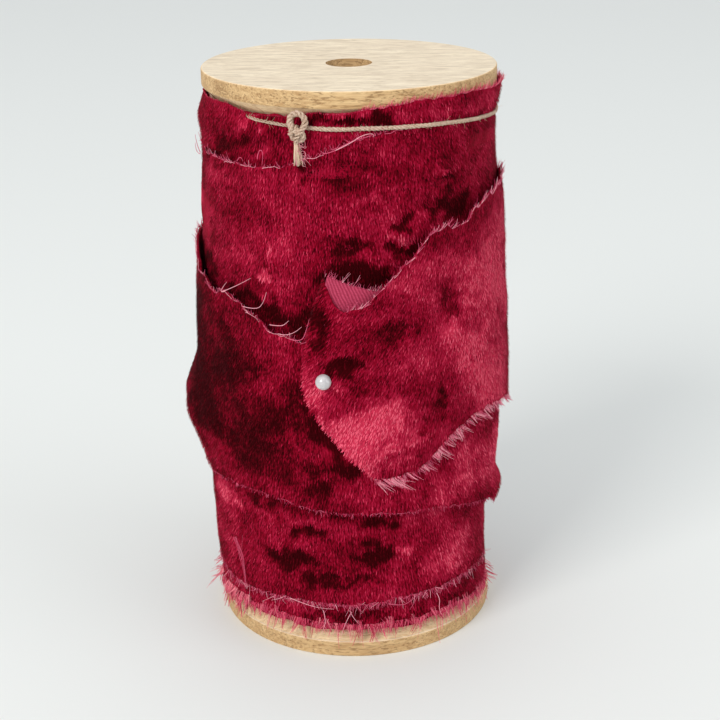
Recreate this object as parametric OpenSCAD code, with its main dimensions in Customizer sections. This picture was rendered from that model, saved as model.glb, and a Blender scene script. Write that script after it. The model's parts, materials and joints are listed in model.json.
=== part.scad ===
// Wooden ribbon spool wound with torn-edge velvet, tied with twine and closed with a pearl-head pin.
// Millimetres. The spool's axis is Z, its base is z = 0 and the front, with the pin, faces -Y.
// Angles go round the axis from the front (-Y), and count positive towards +X.

/* [Spool] */
// Diameter of both flanges
flange_d = 76; // [74:0.5:80]
// Overall height, from face to face
spool_h = 153; // [150:1:160]
// Straight height of each flange's rim
rim_h = 4.4; // [3:0.2:5]
// Slope of the inner face of each flange, in degrees from level
taper_deg = 46; // [25:1:50]
// Softening of the rim's edges
rim_round = 0.5; // [0.3:0.1:1]
// Diameter of the barrel between the flanges
barrel_d = 44; // [36:1:48]
// Diameter of the hole for a spindle, right through the spool
bore_d = 12; // [10:0.5:16]
// Diameter of the spigot at each end of the barrel
spigot_d = 28; // [24:1:32]
// Length of each spigot
spigot_l = 7; // [5:0.5:8]

/* [Ribbon] */
// Width that the ribbon was torn to
ribbon_w = 57; // [54:0.5:58]
// Radius of the wound pack under the turns that show
pack_r = 35.8; // [34:0.1:36]
// Room that one soft turn takes, pile included
turn_t = 1.4; // [1:0.1:1.5]
// Room that the last turn and the tail take
outer_t = 1.6; // [1.2:0.1:1.8]
// How far the crease in the last turn stands out at the left
crease_out = 4.5; // [0:0.5:6]

/* [Twine] */
// Diameter of the twine
twine_d = 1.2; // [0.8:0.1:1.6]
// Height of the twine at the front
twine_z = 144.8; // [143:0.1:146]
// Tilt of the twine's loop, in degrees, high at the left
twine_tilt = 2.6; // [0:0.2:3]
// Angle of the knot from the front
knot_a = -18.5; // [-24:0.5:-14]

/* [Pin] */
// Diameter of the pearl head
pearl_d = 4; // [3:0.5:5]
// Diameter of the steel shaft
pin_d = 0.6; // [0.5:0.05:0.8]
// Length of the shaft below the middle of the head
pin_l = 36; // [30:1:38]
// Angle of the head from the front
pearl_a = -10; // [-13:0.5:-8]
// Height of the head
pearl_z = 81.8; // [80:0.2:83]
// Turn of the shaft away from +X towards +Y, in degrees
pin_turn = 25; // [22:1:28]
// Rise of the shaft towards its point, in degrees
pin_rise = 8; // [4:1:10]

/* [Hidden] */
$fn = 96;

WOOD = "burlywood";
VELVET = "crimson";
VELVET_DARK = "darkred";
TWINE = "tan";

// Glue line between a spigot and its socket, and the gap between two soft turns
glue_gap = 0.05;
turn_gap = 0.1;
// Running clearance round the pin, and room round its head
pin_clear = 0.05;
head_clear = 0.2;

flange_r = flange_d / 2;
barrel_r = barrel_d / 2;
bore_r = bore_d / 2;
spigot_r = spigot_d / 2;
// Thickness of a flange where its sloping face meets the barrel
hub_h = rim_h + (flange_r - barrel_r) * tan(taper_deg);
// Height of the sloping face at a given radius, over the flange's flat face
function slope_z(r) = rim_h + (flange_r - r) * tan(taper_deg);

// Radii between which each soft turn lies
first_r = pack_r + turn_gap;
second_r = first_r + turn_t + turn_gap;
third_r = second_r + turn_t + turn_gap;
tail_r = third_r + outer_t + turn_gap;
tail_out_r = tail_r + outer_t;

// Lower edge of each turn, the two lowest at the foot and the two highest under the top flange
bottom_wrap_z = 9;
lower_wrap_z = 17;
top_wrap_z = spool_h - slope_z(first_r) - turn_gap - ribbon_w;
upper_wrap_z = 81;
// Tilt of the upper turn, which climbs to the right
upper_tilt = 4.5;

// Middle height and tilt of the last turn where it crosses the front and the back
front_mid_z = 73;
front_tilt = -7;
back_mid_z = 84;
back_tilt = 11.3;

// Crease in the last turn: its foot, its two crowns and its top, and the angles it spans
crease_z = [50, 60, 65, 76];
crease_a = [-112, -66];

// Outline of the tail seen from the front, as [x, z], from the right round by its top edge
tail_outline = [[50, 124], [30, 117.5], [19, 113.5], [13, 108], [7, 103.5], [-7.5, 107.5],
    [-13.8, 84], [-12, 77], [-5, 66], [4.5, 52.5], [15, 54], [30, 58], [50, 60]];

// Middle line of the twine's loop, just clear of the turn that it ties
twine_r = first_r + turn_t + turn_gap + twine_d / 2;
// Place of the knot's body on the loop, and its size
knot_r = twine_r + twine_d;
knot_z = twine_z - 1.4;
knot_body_r = 1.6;
// Outer radius of the knot's bow, and how far its middle is over the body's
bow_r = 2.3;
bow_rise = 2.6;
// Radius and length of the frayed end, and how far it leans to the right, in degrees
frayed_r = 1.1;
frayed_l = 6.4;
frayed_lean = 4;

// Middle of the pearl, and the length of the shaft's point
pearl_r = tail_out_r + 1.4;
pearl_at = [pearl_r * sin(pearl_a), -pearl_r * cos(pearl_a), pearl_z];
pin_tip = 3;
pin_tip_r = 0.05;

// Half of a flange in section, with its flat face at z = 0
module flange_section() {
    round_at = [[flange_r - rim_round, rim_round, -90], [flange_r - rim_round, rim_h - rim_round, 0]];
    arc_steps = 4;
    corners = [for (c = round_at) for (i = [0:arc_steps]) let(a = c[2] + 90 * i / arc_steps)
        [c[0] + rim_round * cos(a), c[1] + rim_round * sin(a)]];
    polygon(concat([[bore_r, 0]], corners, [[barrel_r, slope_z(barrel_r)],
        [spigot_r + glue_gap, hub_h], [spigot_r + glue_gap, hub_h - spigot_l - glue_gap],
        [bore_r, hub_h - spigot_l - glue_gap]]));
}

// Ring-shaped sleeve between two radii and two heights
module sleeve(r_in, r_out, z_low, z_high) {
    difference() {
        translate([0, 0, z_low]) cylinder(r = r_out, h = z_high - z_low);
        translate([0, 0, z_low - 1]) cylinder(r = r_in, h = z_high - z_low + 2);
    }
}

// Slab as tall as the ribbon is wide, level along Y and tilted along X
module slab(mid_z, tilt) {
    size = 4 * flange_r;
    translate([0, 0, mid_z]) rotate([0, -tilt, 0]) cube([size, size, ribbon_w], center = true);
}

// Puts things that stand on the origin and point along +X onto the line of the pin
module along_pin() {
    translate(pearl_at) rotate([0, 0, pin_turn]) rotate([0, -pin_rise, 0]) rotate([0, 90, 0]) children();
}

// Room that the pin takes in the ribbon, and the way by which its head leaves
module pin_way() {
    head_way_r = pearl_d / 2 + head_clear;
    along_pin() cylinder(r = pin_d / 2 + pin_clear, h = pin_l + 1);
    along_pin() sphere(r = head_way_r);
    along_pin() translate([0, 0, -pin_l]) cylinder(r = head_way_r, h = pin_l);
}

module bottom_flange() {
    color(WOOD) rotate_extrude() flange_section();
}

module top_flange() {
    color(WOOD) translate([0, 0, spool_h]) mirror([0, 0, 1]) rotate_extrude() flange_section();
}

// Barrel with a spigot at each end, glued into the two flanges
module core_barrel() {
    shoulder_z = hub_h;
    spigot_z = hub_h - spigot_l;
    color(WOOD) difference() {
        union() {
            translate([0, 0, shoulder_z]) cylinder(r = barrel_r, h = spool_h - 2 * shoulder_z);
            translate([0, 0, spigot_z]) cylinder(r = spigot_r, h = spool_h - 2 * spigot_z);
        }
        translate([0, 0, -1]) cylinder(r = bore_r, h = spool_h + 2);
    }
}

// Pack of inner turns, which fills the spool between the two sloping faces
module ribbon_windings() {
    in_r = barrel_r + turn_gap;
    foot_in = slope_z(in_r) + turn_gap;
    foot_out = slope_z(pack_r) + turn_gap;
    color(VELVET_DARK) difference() {
        rotate_extrude() polygon([[in_r, foot_in], [pack_r, foot_out],
            [pack_r, spool_h - foot_out], [in_r, spool_h - foot_in]]);
        pin_way();
    }
}

// First turn at the foot of the spool
module ribbon_bottom_wrap() {
    color(VELVET) difference() {
        sleeve(first_r, first_r + turn_t, bottom_wrap_z, bottom_wrap_z + ribbon_w);
        pin_way();
    }
}

// Turn that lies over the first one and a little higher
module ribbon_lower_wrap() {
    color(VELVET) difference() {
        sleeve(second_r, second_r + turn_t, lower_wrap_z, lower_wrap_z + ribbon_w);
        pin_way();
    }
}

// Turn just under the top flange, which the twine ties
module ribbon_top_wrap() {
    color(VELVET) difference() {
        sleeve(first_r, first_r + turn_t, top_wrap_z, top_wrap_z + ribbon_w);
        pin_way();
    }
}

// Turn that lies over the one at the top, lower at the left than at the right
module ribbon_upper_wrap() {
    color(VELVET_DARK) difference() {
        intersection() {
            sleeve(second_r, second_r + turn_t, 0, spool_h);
            slab(upper_wrap_z + ribbon_w / 2, upper_tilt);
        }
        pin_way();
    }
}

// Last whole turn: from under the tail across the front, then climbing across the back
module ribbon_outer_turn() {
    reach = 3 * flange_r;
    color("firebrick") difference() {
        union() {
            intersection() {
                sleeve(third_r, third_r + outer_t, 0, spool_h);
                slab(front_mid_z, front_tilt);
                translate([-reach, -reach, 0]) cube([2 * reach, reach, spool_h]);
            }
            intersection() {
                sleeve(third_r, third_r + outer_t, 0, spool_h);
                slab(back_mid_z, back_tilt);
                translate([-reach, 0, 0]) cube([2 * reach, reach, spool_h]);
            }
            outer_turn_crease();
        }
        pin_way();
    }
}

// Crease that stands out of the last turn at the left
module outer_turn_crease() {
    foot_r = third_r + outer_t / 2;
    crown_r = third_r + outer_t + crease_out;
    crease_r = [foot_r, crown_r, crown_r, foot_r];
    rotate([0, 0, crease_a[0] - 90]) rotate_extrude(angle = crease_a[1] - crease_a[0])
        polygon([for (i = [0:3]) [crease_r[i], crease_z[i]]]);
}

// Free end of the ribbon, which comes round from the right and is turned under at its end
module ribbon_tail() {
    color("indianred") difference() {
        intersection() {
            sleeve(tail_r, tail_out_r, 0, spool_h);
            rotate([90, 0, 0]) linear_extrude(height = 2 * flange_r) polygon(tail_outline);
        }
        pin_way();
    }
}

// Twine that goes once round the top turn
module twine_loop() {
    color(TWINE) translate([0, 0, twine_z]) rotate([0, twine_tilt, 0])
        rotate_extrude() translate([twine_r, 0]) circle(d = twine_d, $fn = 16);
}

// Knot on the front of the loop, with its upright bow
module twine_knot() {
    strand_r = twine_d / 2;
    color(TWINE) rotate([0, 0, knot_a]) translate([0, -knot_r, knot_z]) {
        sphere(r = knot_body_r);
        translate([0, -strand_r, bow_rise]) rotate([90, 0, 0])
            rotate_extrude() translate([bow_r - strand_r, 0]) circle(r = strand_r, $fn = 16);
    }
}

// Frayed end of the twine, which hangs from the knot in front of the upper turn
module twine_tail() {
    hang_r = second_r + turn_t + turn_gap + frayed_r;
    color(TWINE) rotate([0, 0, knot_a]) translate([0, -hang_r, knot_z - knot_body_r])
        rotate([0, -frayed_lean, 0]) translate([0, 0, -frayed_l]) cylinder(r = frayed_r, h = frayed_l);
}

// Pearl head, with a blind hole for the shaft
module pin_head() {
    color("whitesmoke") difference() {
        along_pin() sphere(d = pearl_d);
        along_pin() cylinder(r = pin_d / 2, h = pearl_d);
    }
}

// Steel shaft from the middle of the head to its sharp point
module pin_shaft() {
    color("silver") along_pin() {
        cylinder(d = pin_d, h = pin_l - pin_tip);
        translate([0, 0, pin_l - pin_tip]) cylinder(r1 = pin_d / 2, r2 = pin_tip_r, h = pin_tip);
    }
}

bottom_flange();
core_barrel();
top_flange();
ribbon_windings();
ribbon_bottom_wrap();
ribbon_lower_wrap();
ribbon_top_wrap();
ribbon_upper_wrap();
ribbon_outer_turn();
ribbon_tail();
twine_loop();
twine_knot();
twine_tail();
pin_head();
pin_shaft();
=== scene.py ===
# %% [markdown]
# # A velvet ribbon spool
# The imported model is the fixed frame. It gives the wooden spool, the pin and the bodies, and every piece
# that is made here rides on one of those bodies.

import json
import math
import random

import bmesh
import bpy
import numpy as np
from mathutils import Matrix, Vector, noise

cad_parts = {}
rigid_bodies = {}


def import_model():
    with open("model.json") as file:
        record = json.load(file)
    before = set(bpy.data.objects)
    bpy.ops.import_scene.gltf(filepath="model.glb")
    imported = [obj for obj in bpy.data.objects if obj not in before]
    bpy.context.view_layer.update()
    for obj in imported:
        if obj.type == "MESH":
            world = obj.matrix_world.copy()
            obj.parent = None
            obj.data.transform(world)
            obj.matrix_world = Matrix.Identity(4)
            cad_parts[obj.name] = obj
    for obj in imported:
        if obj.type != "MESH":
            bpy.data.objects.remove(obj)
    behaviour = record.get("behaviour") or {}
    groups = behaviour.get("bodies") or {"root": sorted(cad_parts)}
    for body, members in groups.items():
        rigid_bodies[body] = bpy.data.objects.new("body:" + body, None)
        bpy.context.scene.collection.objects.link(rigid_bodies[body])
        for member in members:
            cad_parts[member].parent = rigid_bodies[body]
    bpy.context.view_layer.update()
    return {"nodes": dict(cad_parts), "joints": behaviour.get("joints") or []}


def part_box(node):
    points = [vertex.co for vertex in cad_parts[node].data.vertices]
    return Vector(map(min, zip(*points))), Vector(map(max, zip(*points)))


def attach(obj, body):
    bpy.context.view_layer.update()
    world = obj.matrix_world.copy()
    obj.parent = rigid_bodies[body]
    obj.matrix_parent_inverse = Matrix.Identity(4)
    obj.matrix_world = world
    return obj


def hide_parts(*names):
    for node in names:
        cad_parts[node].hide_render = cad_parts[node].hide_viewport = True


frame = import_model()
NODES = frame["nodes"]
MM = 0.001

# %% [markdown]
# The camera stands in front of the spool, a little over its top, and looks down by 21 degrees. A lens of 77
# mm keeps the flanges' ellipses as flat as a short telephoto does. The small roll is that of a hand-held
# camera.

# %% Camera
camera_distance = 397.1 * MM
camera_height = 223.5 * MM
camera_pitch = math.radians(21.0)
camera_yaw = math.radians(0.26)
camera_roll = math.radians(-0.81)
camera_lens = 77.02


def place_camera():
    level = math.cos(camera_pitch)
    ahead = Vector((math.sin(camera_yaw) * level, math.cos(camera_yaw) * level, -math.sin(camera_pitch)))
    side = Vector((math.cos(camera_yaw), -math.sin(camera_yaw), 0))
    top = side.cross(ahead)
    c, s = math.cos(camera_roll), math.sin(camera_roll)
    side, top = c * side + s * top, c * top - s * side
    data = bpy.data.cameras.new("camera")
    data.lens = camera_lens
    data.clip_start = 0.01
    camera = bpy.data.objects.new("camera", data)
    bpy.context.scene.collection.objects.link(camera)
    camera.matrix_world = Matrix.Translation((0, -camera_distance, camera_height)) @ Matrix(
        (side, top, -ahead)).transposed().to_4x4()
    bpy.context.scene.camera = camera
    return camera


place_camera()
print("camera lens", camera_lens)

# %% [markdown]
# Everything on the spool has a place by an angle round the axis, a height and a radius. The angle counts
# from the front, where the camera is, and is positive towards the right. Two small helpers turn such places
# into points, and read a smooth line through a few measured rows.

# %% Round places and smooth rows
rim_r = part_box("top_flange")[1].x / MM


def round_point(angle, height, radius):
    """Point at an angle in degrees from the front, with its height and radius in millimetres."""
    a = math.radians(angle)
    return Vector((radius * math.sin(a), -radius * math.cos(a), height)) * MM


def smooth_rows(rows, at):
    """Values of rows (key, value, ...) at the keys in at, on smooth curves through the rows."""
    rows = np.array(sorted(rows), float)
    keys, values = rows[:, 0], rows[:, 1:]
    slopes = np.gradient(values, keys, axis=0)
    i = np.clip(np.searchsorted(keys, at, side="right") - 1, 0, len(keys) - 2)
    width = keys[i + 1] - keys[i]
    t = np.clip((at - keys[i]) / width, 0, 1)[:, None]
    width = width[:, None]
    a, b, c, d = 2 * t**3 - 3 * t**2 + 1, t**3 - 2 * t**2 + t, 3 * t**2 - 2 * t**3, t**3 - t**2
    return a * values[i] + b * width * slopes[i] + c * values[i + 1] + d * width * slopes[i + 1]


def finish_mesh(bm, name, materials):
    """Makes an object of a bmesh, with smooth shading and its materials."""
    mesh = bpy.data.meshes.new(name)
    bm.to_mesh(mesh)
    bm.free()
    mesh.shade_smooth()
    for material in materials:
        mesh.materials.append(material)
    piece = bpy.data.objects.new(name, mesh)
    bpy.context.scene.collection.objects.link(piece)
    return piece


print("the rim is", round(rim_r, 2), "mm from the axis")

# %% [markdown]
# A plain pale floor and soft light. A big soft box at the upper left is the key, a weaker one at the right
# opens the shadows, and a pale world stands for the white room round them.

# %% Floor and light
key_power = 25.0
fill_power = 6.5
lights_aim = Vector((0, 0, 0.08))
floor_colour = (0.80, 0.82, 0.80, 1)
room_colour = (0.96, 0.98, 1.0, 1)
room_strength = 0.78


def soft_box(name, place, size, power, colour):
    """An area light at a place in metres, turned towards the middle of the spool."""
    data = bpy.data.lights.new(name, "AREA")
    data.shape = "RECTANGLE"
    data.size, data.size_y = size
    data.energy = power
    data.color = colour
    light = bpy.data.objects.new(name, data)
    bpy.context.scene.collection.objects.link(light)
    aim = lights_aim - Vector(place)
    light.matrix_world = Matrix.Translation(place) @ aim.to_track_quat("-Z", "Y").to_matrix().to_4x4()
    return light


def make_stage():
    bm = bmesh.new()
    bmesh.ops.create_grid(bm, x_segments=1, y_segments=1, size=6)
    floor = finish_mesh(bm, "floor", [])
    paint = bpy.data.materials.new("floor_paint")
    paint.use_nodes = True
    coat = paint.node_tree.nodes["Principled BSDF"].inputs
    coat["Base Color"].default_value = floor_colour
    coat["Roughness"].default_value = 0.6
    floor.data.materials.append(paint)
    world = bpy.data.worlds.new("room")
    bpy.context.scene.world = world
    world.use_nodes = True
    walls = world.node_tree.nodes["Background"].inputs
    walls["Color"].default_value = room_colour
    walls["Strength"].default_value = room_strength
    return floor


make_stage()
soft_box("key", (-1.1, -1.4, 1.25), (0.9, 0.9), key_power, (1.0, 0.985, 0.96))
soft_box("fill", (1.5, -0.7, 0.9), (1.2, 1.2), fill_power, (0.96, 0.98, 1.0))
bpy.context.scene.view_settings.view_transform = "Standard"

# %% [markdown]
# Each finish is a material made of nodes. This class keeps the cells below short: it holds one material and
# has a call for each kind of node that the finishes share, such as a noise, a colour ramp or a bump.

# %% Node helpers


class Finish:
    """A material under construction, with short calls for the nodes that the finishes share."""

    def __init__(self, name):
        self.material = bpy.data.materials.new(name)
        self.material.use_nodes = True
        self.nodes = self.material.node_tree.nodes
        self.link = self.material.node_tree.links.new
        self.shader = self.nodes["Principled BSDF"]

    def node(self, kind, **settings):
        made = self.nodes.new(kind)
        for key, value in settings.items():
            setattr(made, key, value)
        return made

    def constant(self, **values):
        for key, value in values.items():
            self.shader.inputs[key.replace("_", " ")].default_value = value

    def coordinates(self, source, scale):
        """Object or UV coordinates, stretched by scale along each axis."""
        if source == "Object":
            start = self.node("ShaderNodeTexCoord").outputs["Object"]
        else:
            start = self.node("ShaderNodeUVMap", uv_map=source).outputs["UV"]
        mapping = self.node("ShaderNodeMapping")
        mapping.inputs["Scale"].default_value = scale
        self.link(start, mapping.inputs["Vector"])
        return mapping.outputs["Vector"]

    def noise(self, where, detail=3.0, roughness=0.6, distortion=0.0):
        made = self.node("ShaderNodeTexNoise")
        settings = {"Scale": 1.0, "Detail": detail, "Roughness": roughness, "Distortion": distortion}
        for key, value in settings.items():
            made.inputs[key].default_value = value
        self.link(where, made.inputs["Vector"])
        return made.outputs["Fac"]

    def ramp(self, value, stops):
        made = self.node("ShaderNodeValToRGB")
        elements = made.color_ramp.elements
        while len(elements) < len(stops):
            elements.new(0.5)
        for element, (position, colour) in zip(elements, stops):
            element.position = position
            element.color = (*colour, 1) if len(colour) == 3 else colour
        self.link(value, made.inputs["Fac"])
        return made.outputs["Color"]

    def range(self, value, low, high, to_low=0.0, to_high=1.0):
        made = self.node("ShaderNodeMapRange")
        settings = {"From Min": low, "From Max": high, "To Min": to_low, "To Max": to_high}
        for key, number in settings.items():
            made.inputs[key].default_value = number
        self.link(value, made.inputs["Value"])
        return made.outputs["Result"]

    def mix(self, factor, a, b):
        made = self.node("ShaderNodeMix", data_type="RGBA")
        for value, socket in ((factor, made.inputs["Factor"]), (a, made.inputs["A"]), (b, made.inputs["B"])):
            if isinstance(value, bpy.types.NodeSocket):
                self.link(value, socket)
            else:
                socket.default_value = value if isinstance(value, float) else (*value, 1)
        return made.outputs["Result"]

    def sum(self, a, b, operation="ADD"):
        made = self.node("ShaderNodeMath", operation=operation)
        for value, socket in zip((a, b), made.inputs):
            if isinstance(value, bpy.types.NodeSocket):
                self.link(value, socket)
            else:
                socket.default_value = value
        return made.outputs["Value"]

    def bump(self, height, strength, distance):
        made = self.node("ShaderNodeBump")
        made.inputs["Strength"].default_value = strength
        made.inputs["Distance"].default_value = distance
        self.link(height, made.inputs["Height"])
        self.link(made.outputs["Normal"], self.shader.inputs["Normal"])

    def colour(self, socket):
        self.link(socket, self.shader.inputs["Base Color"])


print("node helpers ready")

# %% [markdown]
# The flanges are discs cut from a board, so the grain runs straight across them: long pale streaks on the
# flat face, and short dark pores where it comes out at the rim. The pattern reads Object coordinates,
# stretched along X, and the face's own direction tells the flat face from the rim, which is darker and
# yellower, and from the cone under it. The cone's colour is partly wood and partly painted light: it is
# paler and more orange than the rim, for the light and the warm red bounce that it misses in the shade of
# the ribbon. A few dark places in the rim are set one by one: each is a soft spot on the object's own
# coordinates.

# %% Wood
wood_face_pale = (0.92, 0.795, 0.60)
wood_face_streak = (0.60, 0.485, 0.35)
wood_rim_pale = (0.66, 0.45, 0.225)
wood_rim_streak = (0.46, 0.275, 0.12)
wood_rim_dark = (0.27, 0.15, 0.06)
wood_face_band = (0.70, 0.57, 0.42)
# the cone's wood with painted light and a painted warm bounce from the ribbon, paler than the rim though it
# lies in shade
wood_cone_painted_light = (0.95, 0.74, 0.47)
wood_cone_streak_painted_light = (0.74, 0.50, 0.29)
grain_turn = math.radians(4)
mark_depth = 6.0


def make_wood(name, shift, marks=()):
    """Marks are darker places in the rim: (angle, height, half width, half height, strength)."""
    wood = Finish(name)

    def grain(scale, **settings):
        where = wood.coordinates("Object", scale)
        wood.nodes[-1].inputs["Location"].default_value = (shift, 0.3 * shift, 0)
        wood.nodes[-1].inputs["Rotation"].default_value = (0, 0, grain_turn)
        return wood.noise(where, **settings)

    broad = grain((30, 130, 130), detail=3.0, distortion=1.2)
    streak = grain((120, 900, 900), detail=4.0, roughness=0.7, distortion=0.9)
    pores = grain((330, 2600, 2600), detail=2.0, roughness=0.6, distortion=0.4)
    flecks = wood.range(pores, 0.55, 0.63)
    face = wood.mix(wood.range(streak, 0.42, 0.66), wood_face_pale, wood_face_streak)
    face = wood.mix(wood.range(broad, 0.42, 0.62, 0.0, 0.30), face, wood_face_band)
    face = wood.mix(wood.sum(flecks, 0.35, "MULTIPLY"), face, wood_face_streak)
    rim = wood.mix(wood.range(streak, 0.40, 0.62), wood_rim_pale, wood_rim_streak)
    rim = wood.mix(wood.range(broad, 0.48, 0.66, 0.0, 0.55), rim, wood_rim_streak)
    rim = wood.mix(wood.sum(flecks, 0.8, "MULTIPLY"), rim, wood_rim_dark)
    for angle, height, wide, high, strength in marks:
        where = wood.coordinates("Object", (1, 1, 1))
        mapping = wood.nodes[-1]
        mapping.vector_type = "TEXTURE"
        mapping.inputs["Location"].default_value = round_point(angle, height, rim_r)
        mapping.inputs["Rotation"].default_value = (0, 0, math.radians(angle))
        mapping.inputs["Scale"].default_value = (wide * MM, mark_depth * MM, high * MM)
        away = wood.node("ShaderNodeVectorMath", operation="LENGTH")
        wood.link(where, away.inputs[0])
        near = wood.range(away.outputs["Value"], 1.0, 0.3, 0.0, strength)
        rim = wood.mix(wood.sum(near, wood.range(pores, 0.40, 0.52), "MULTIPLY"), rim, wood_rim_dark)
    # the cone's wood with painted light and a painted warm bounce
    cone = wood.mix(wood.range(streak, 0.42, 0.66), wood_cone_painted_light, wood_cone_streak_painted_light)
    apart = wood.node("ShaderNodeSeparateXYZ")
    wood.link(wood.node("ShaderNodeNewGeometry").outputs["Normal"], apart.inputs["Vector"])
    upward = wood.sum(apart.outputs["Z"], 0.0, "ABSOLUTE")
    turned = wood.mix(wood.range(upward, 0.5, 0.8), rim, cone)
    wood.colour(wood.mix(wood.range(upward, 0.90, 0.98), turned, face))
    wood.bump(wood.sum(streak, wood.sum(flecks, -0.6, "MULTIPLY")), 0.45, 0.0003)
    wood.constant(Roughness=0.62, Specular_IOR_Level=0.3)
    return wood.material


top_marks = [
    (-56, 150.6, 5.0, 2.4, 0.75), (-48, 149.8, 7.0, 1.6, 0.4), (45, 151.2, 0.7, 1.9, 0.9),
    (20, 151.8, 9.0, 0.7, 0.35),
]
bottom_marks = [(-30, 2.4, 9.0, 0.8, 0.4)]
wooden = {"top_flange": (0.0, top_marks), "bottom_flange": (7.3, bottom_marks), "core_barrel": (3.1, [])}
for node_name, (shift, marks) in wooden.items():
    NODES[node_name].data.materials.clear()
    NODES[node_name].data.materials.append(make_wood(f"wood_{node_name}", shift, marks))
print("wood on", list(wooden))

# %% [markdown]
# Crushed velvet looks light where its pile lies towards the light and almost black where it is pressed the
# other way. Here that light and shade is painted: an attribute of the cloth, from 0 to 1, which the cells
# below paint on each turn with a soft noise in three sizes and patches at measured places. The material
# turns this painted light, with fine ribs and streaks, into reds from almost black to a warm one, from
# painted shade to painted sheen. The same reds and one paler, as plain colours, are the tufts that stand
# on the cloth.

# %% Velvet
# the reds run from painted shade, almost black, to a painted sheen; the cloth's painted light picks among
# them
reds = [(0.034, 0.0002, 0.0014), (0.10, 0.0006, 0.0050), (0.24, 0.0016, 0.0150), (0.38, 0.0080, 0.038),
        (0.58, 0.032, 0.080), (0.80, 0.105, 0.175)]
pile_pink = (1.0, 0.42, 0.52, 1)
rib_pitch = 0.85  # millimetres from one row of tufts to the next
rib_depth = 0.08
nap_round, nap_up = 0.01, 10  # UV units to a millimetre round the spool and to a metre up it


def make_velvet():
    velvet = Finish("velvet_face")
    # the painted light and shade of the nap, read from the cloth
    shine = velvet.node("ShaderNodeAttribute", attribute_name="shine").outputs["Fac"]
    streak = velvet.noise(velvet.coordinates("nap", (170, 55, 1)), detail=3.0, roughness=0.7, distortion=0.5)
    dash = velvet.noise(velvet.coordinates("nap", (420, 110, 1)), detail=1.0)
    across = velvet.node("ShaderNodeSeparateXYZ")
    velvet.link(velvet.node("ShaderNodeUVMap", uv_map="nap").outputs["UV"], across.inputs["Vector"])
    turns_per_nap = 2 * math.pi / (rib_pitch * nap_round)
    rib = velvet.sum(velvet.sum(across.outputs["X"], turns_per_nap, "MULTIPLY"), 0.0, "SINE")
    value = velvet.sum(shine, velvet.range(streak, 0.3, 0.7, -0.16, 0.16))
    value = velvet.sum(value, velvet.sum(rib, rib_depth, "MULTIPLY"))
    value = velvet.sum(value, velvet.range(dash, 0.3, 0.7, -0.10, 0.10))
    velvet.colour(velvet.ramp(value, list(zip((0.0, 0.22, 0.46, 0.72, 1.0), reds))))
    velvet.bump(velvet.sum(streak, velvet.sum(dash, 0.5, "MULTIPLY")), 0.8, 0.0005)
    velvet.constant(Roughness=0.9, Specular_IOR_Level=0.02, Sheen_Weight=0.04, Sheen_Roughness=0.45)
    velvet.shader.inputs["Sheen Tint"].default_value = pile_pink
    return velvet.material


# each tuft colour is a lit or shaded copy of the pile, painted light and shade picked by the cloth's painted
# light
def make_pile(number, colour):
    tuft = Finish(f"velvet_pile_{number}")
    tuft.shader.inputs["Base Color"].default_value = (*colour, 1)
    tuft.constant(Roughness=0.8, Specular_IOR_Level=0.03, Sheen_Weight=0.03, Sheen_Roughness=0.4)
    tuft.shader.inputs["Sheen Tint"].default_value = pile_pink
    return tuft.material


velvet_face = make_velvet()
pile_shades = [make_pile(number, colour) for number, colour in enumerate(reds)]
print("velvet and", len(pile_shades), "pile colours")

# %% [markdown]
# The back of the ribbon, which shows where the end is turned under, is a plain twill: fine slanting ribs, a
# touch paler and pinker than the pile. The loose threads of the torn edges are that same yarn, so they are
# pale pink too.

# %% Twill and threads
twill_low = (0.27, 0.012, 0.040)
twill_high = (0.70, 0.09, 0.18)
thread_colours = [(0.66, 0.10, 0.19), (0.86, 0.36, 0.43), (0.42, 0.022, 0.075)]
foot_colours = [(0.66, 0.065, 0.14), (0.85, 0.25, 0.30), (0.40, 0.012, 0.045)]


def make_twill():
    twill = Finish("velvet_back")

    def ribs(scale):
        made = twill.node("ShaderNodeTexWave", wave_type="BANDS", bands_direction="DIAGONAL")
        for key, value in (("Scale", 100.0), ("Distortion", 0.8), ("Detail", 2.0), ("Detail Scale", 20.0)):
            made.inputs[key].default_value = value
        twill.link(twill.coordinates("nap", scale), made.inputs["Vector"])
        return made.outputs["Fac"]

    cross = twill.noise(twill.coordinates("nap", (150, 400, 1)), detail=1.0)
    value = twill.sum(ribs((1, 1, 1)), twill.sum(ribs((0.7, -1.5, 1)), 0.8, "MULTIPLY"))
    value = twill.sum(value, twill.range(cross, 0.3, 0.7, 0.30, 0.62), "MULTIPLY")
    twill.colour(twill.mix(value, twill_low, twill_high))
    twill.bump(value, 0.7, 0.0003)
    twill.constant(Roughness=0.8, Specular_IOR_Level=0.15)
    return twill.material


def make_thread(name, colour):
    thread = Finish(name)
    thread.shader.inputs["Base Color"].default_value = (*colour, 1)
    thread.constant(Roughness=0.7, Specular_IOR_Level=0.15)
    return thread.material


velvet_back = make_twill()
thread_finishes = [make_thread(f"torn_thread_{i}", colour) for i, colour in enumerate(thread_colours)]
foot_finishes = [make_thread(f"foot_thread_{i}", colour) for i, colour in enumerate(foot_colours)]
print("twill and", len(thread_finishes) + len(foot_finishes), "thread colours")

# %% [markdown]
# Each turn of ribbon starts as a flat strip, a grid, and is then wound: a row of measured places gives its
# lower and upper edge and its radius at some angles, and smooth lines run between them. Folds and dents are
# soft bumps, and a noise gives the loose waviness of a torn ribbon that was wound by hand.

# %% Soft noise and bumps
cloth_r = 40.0  # radius at which lengths round the spool are measured, in millimetres
grid_step = 0.85  # millimetres between the grid's lines
edge_wobble = 0.6
wave_out = 0.5
fold_drop = 2.0  # how far the folded end curls in towards the spool


def arc_of(angle):
    return math.radians(angle) * cloth_r


seam_arc, whole_turn = arc_of(140), arc_of(360)


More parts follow.
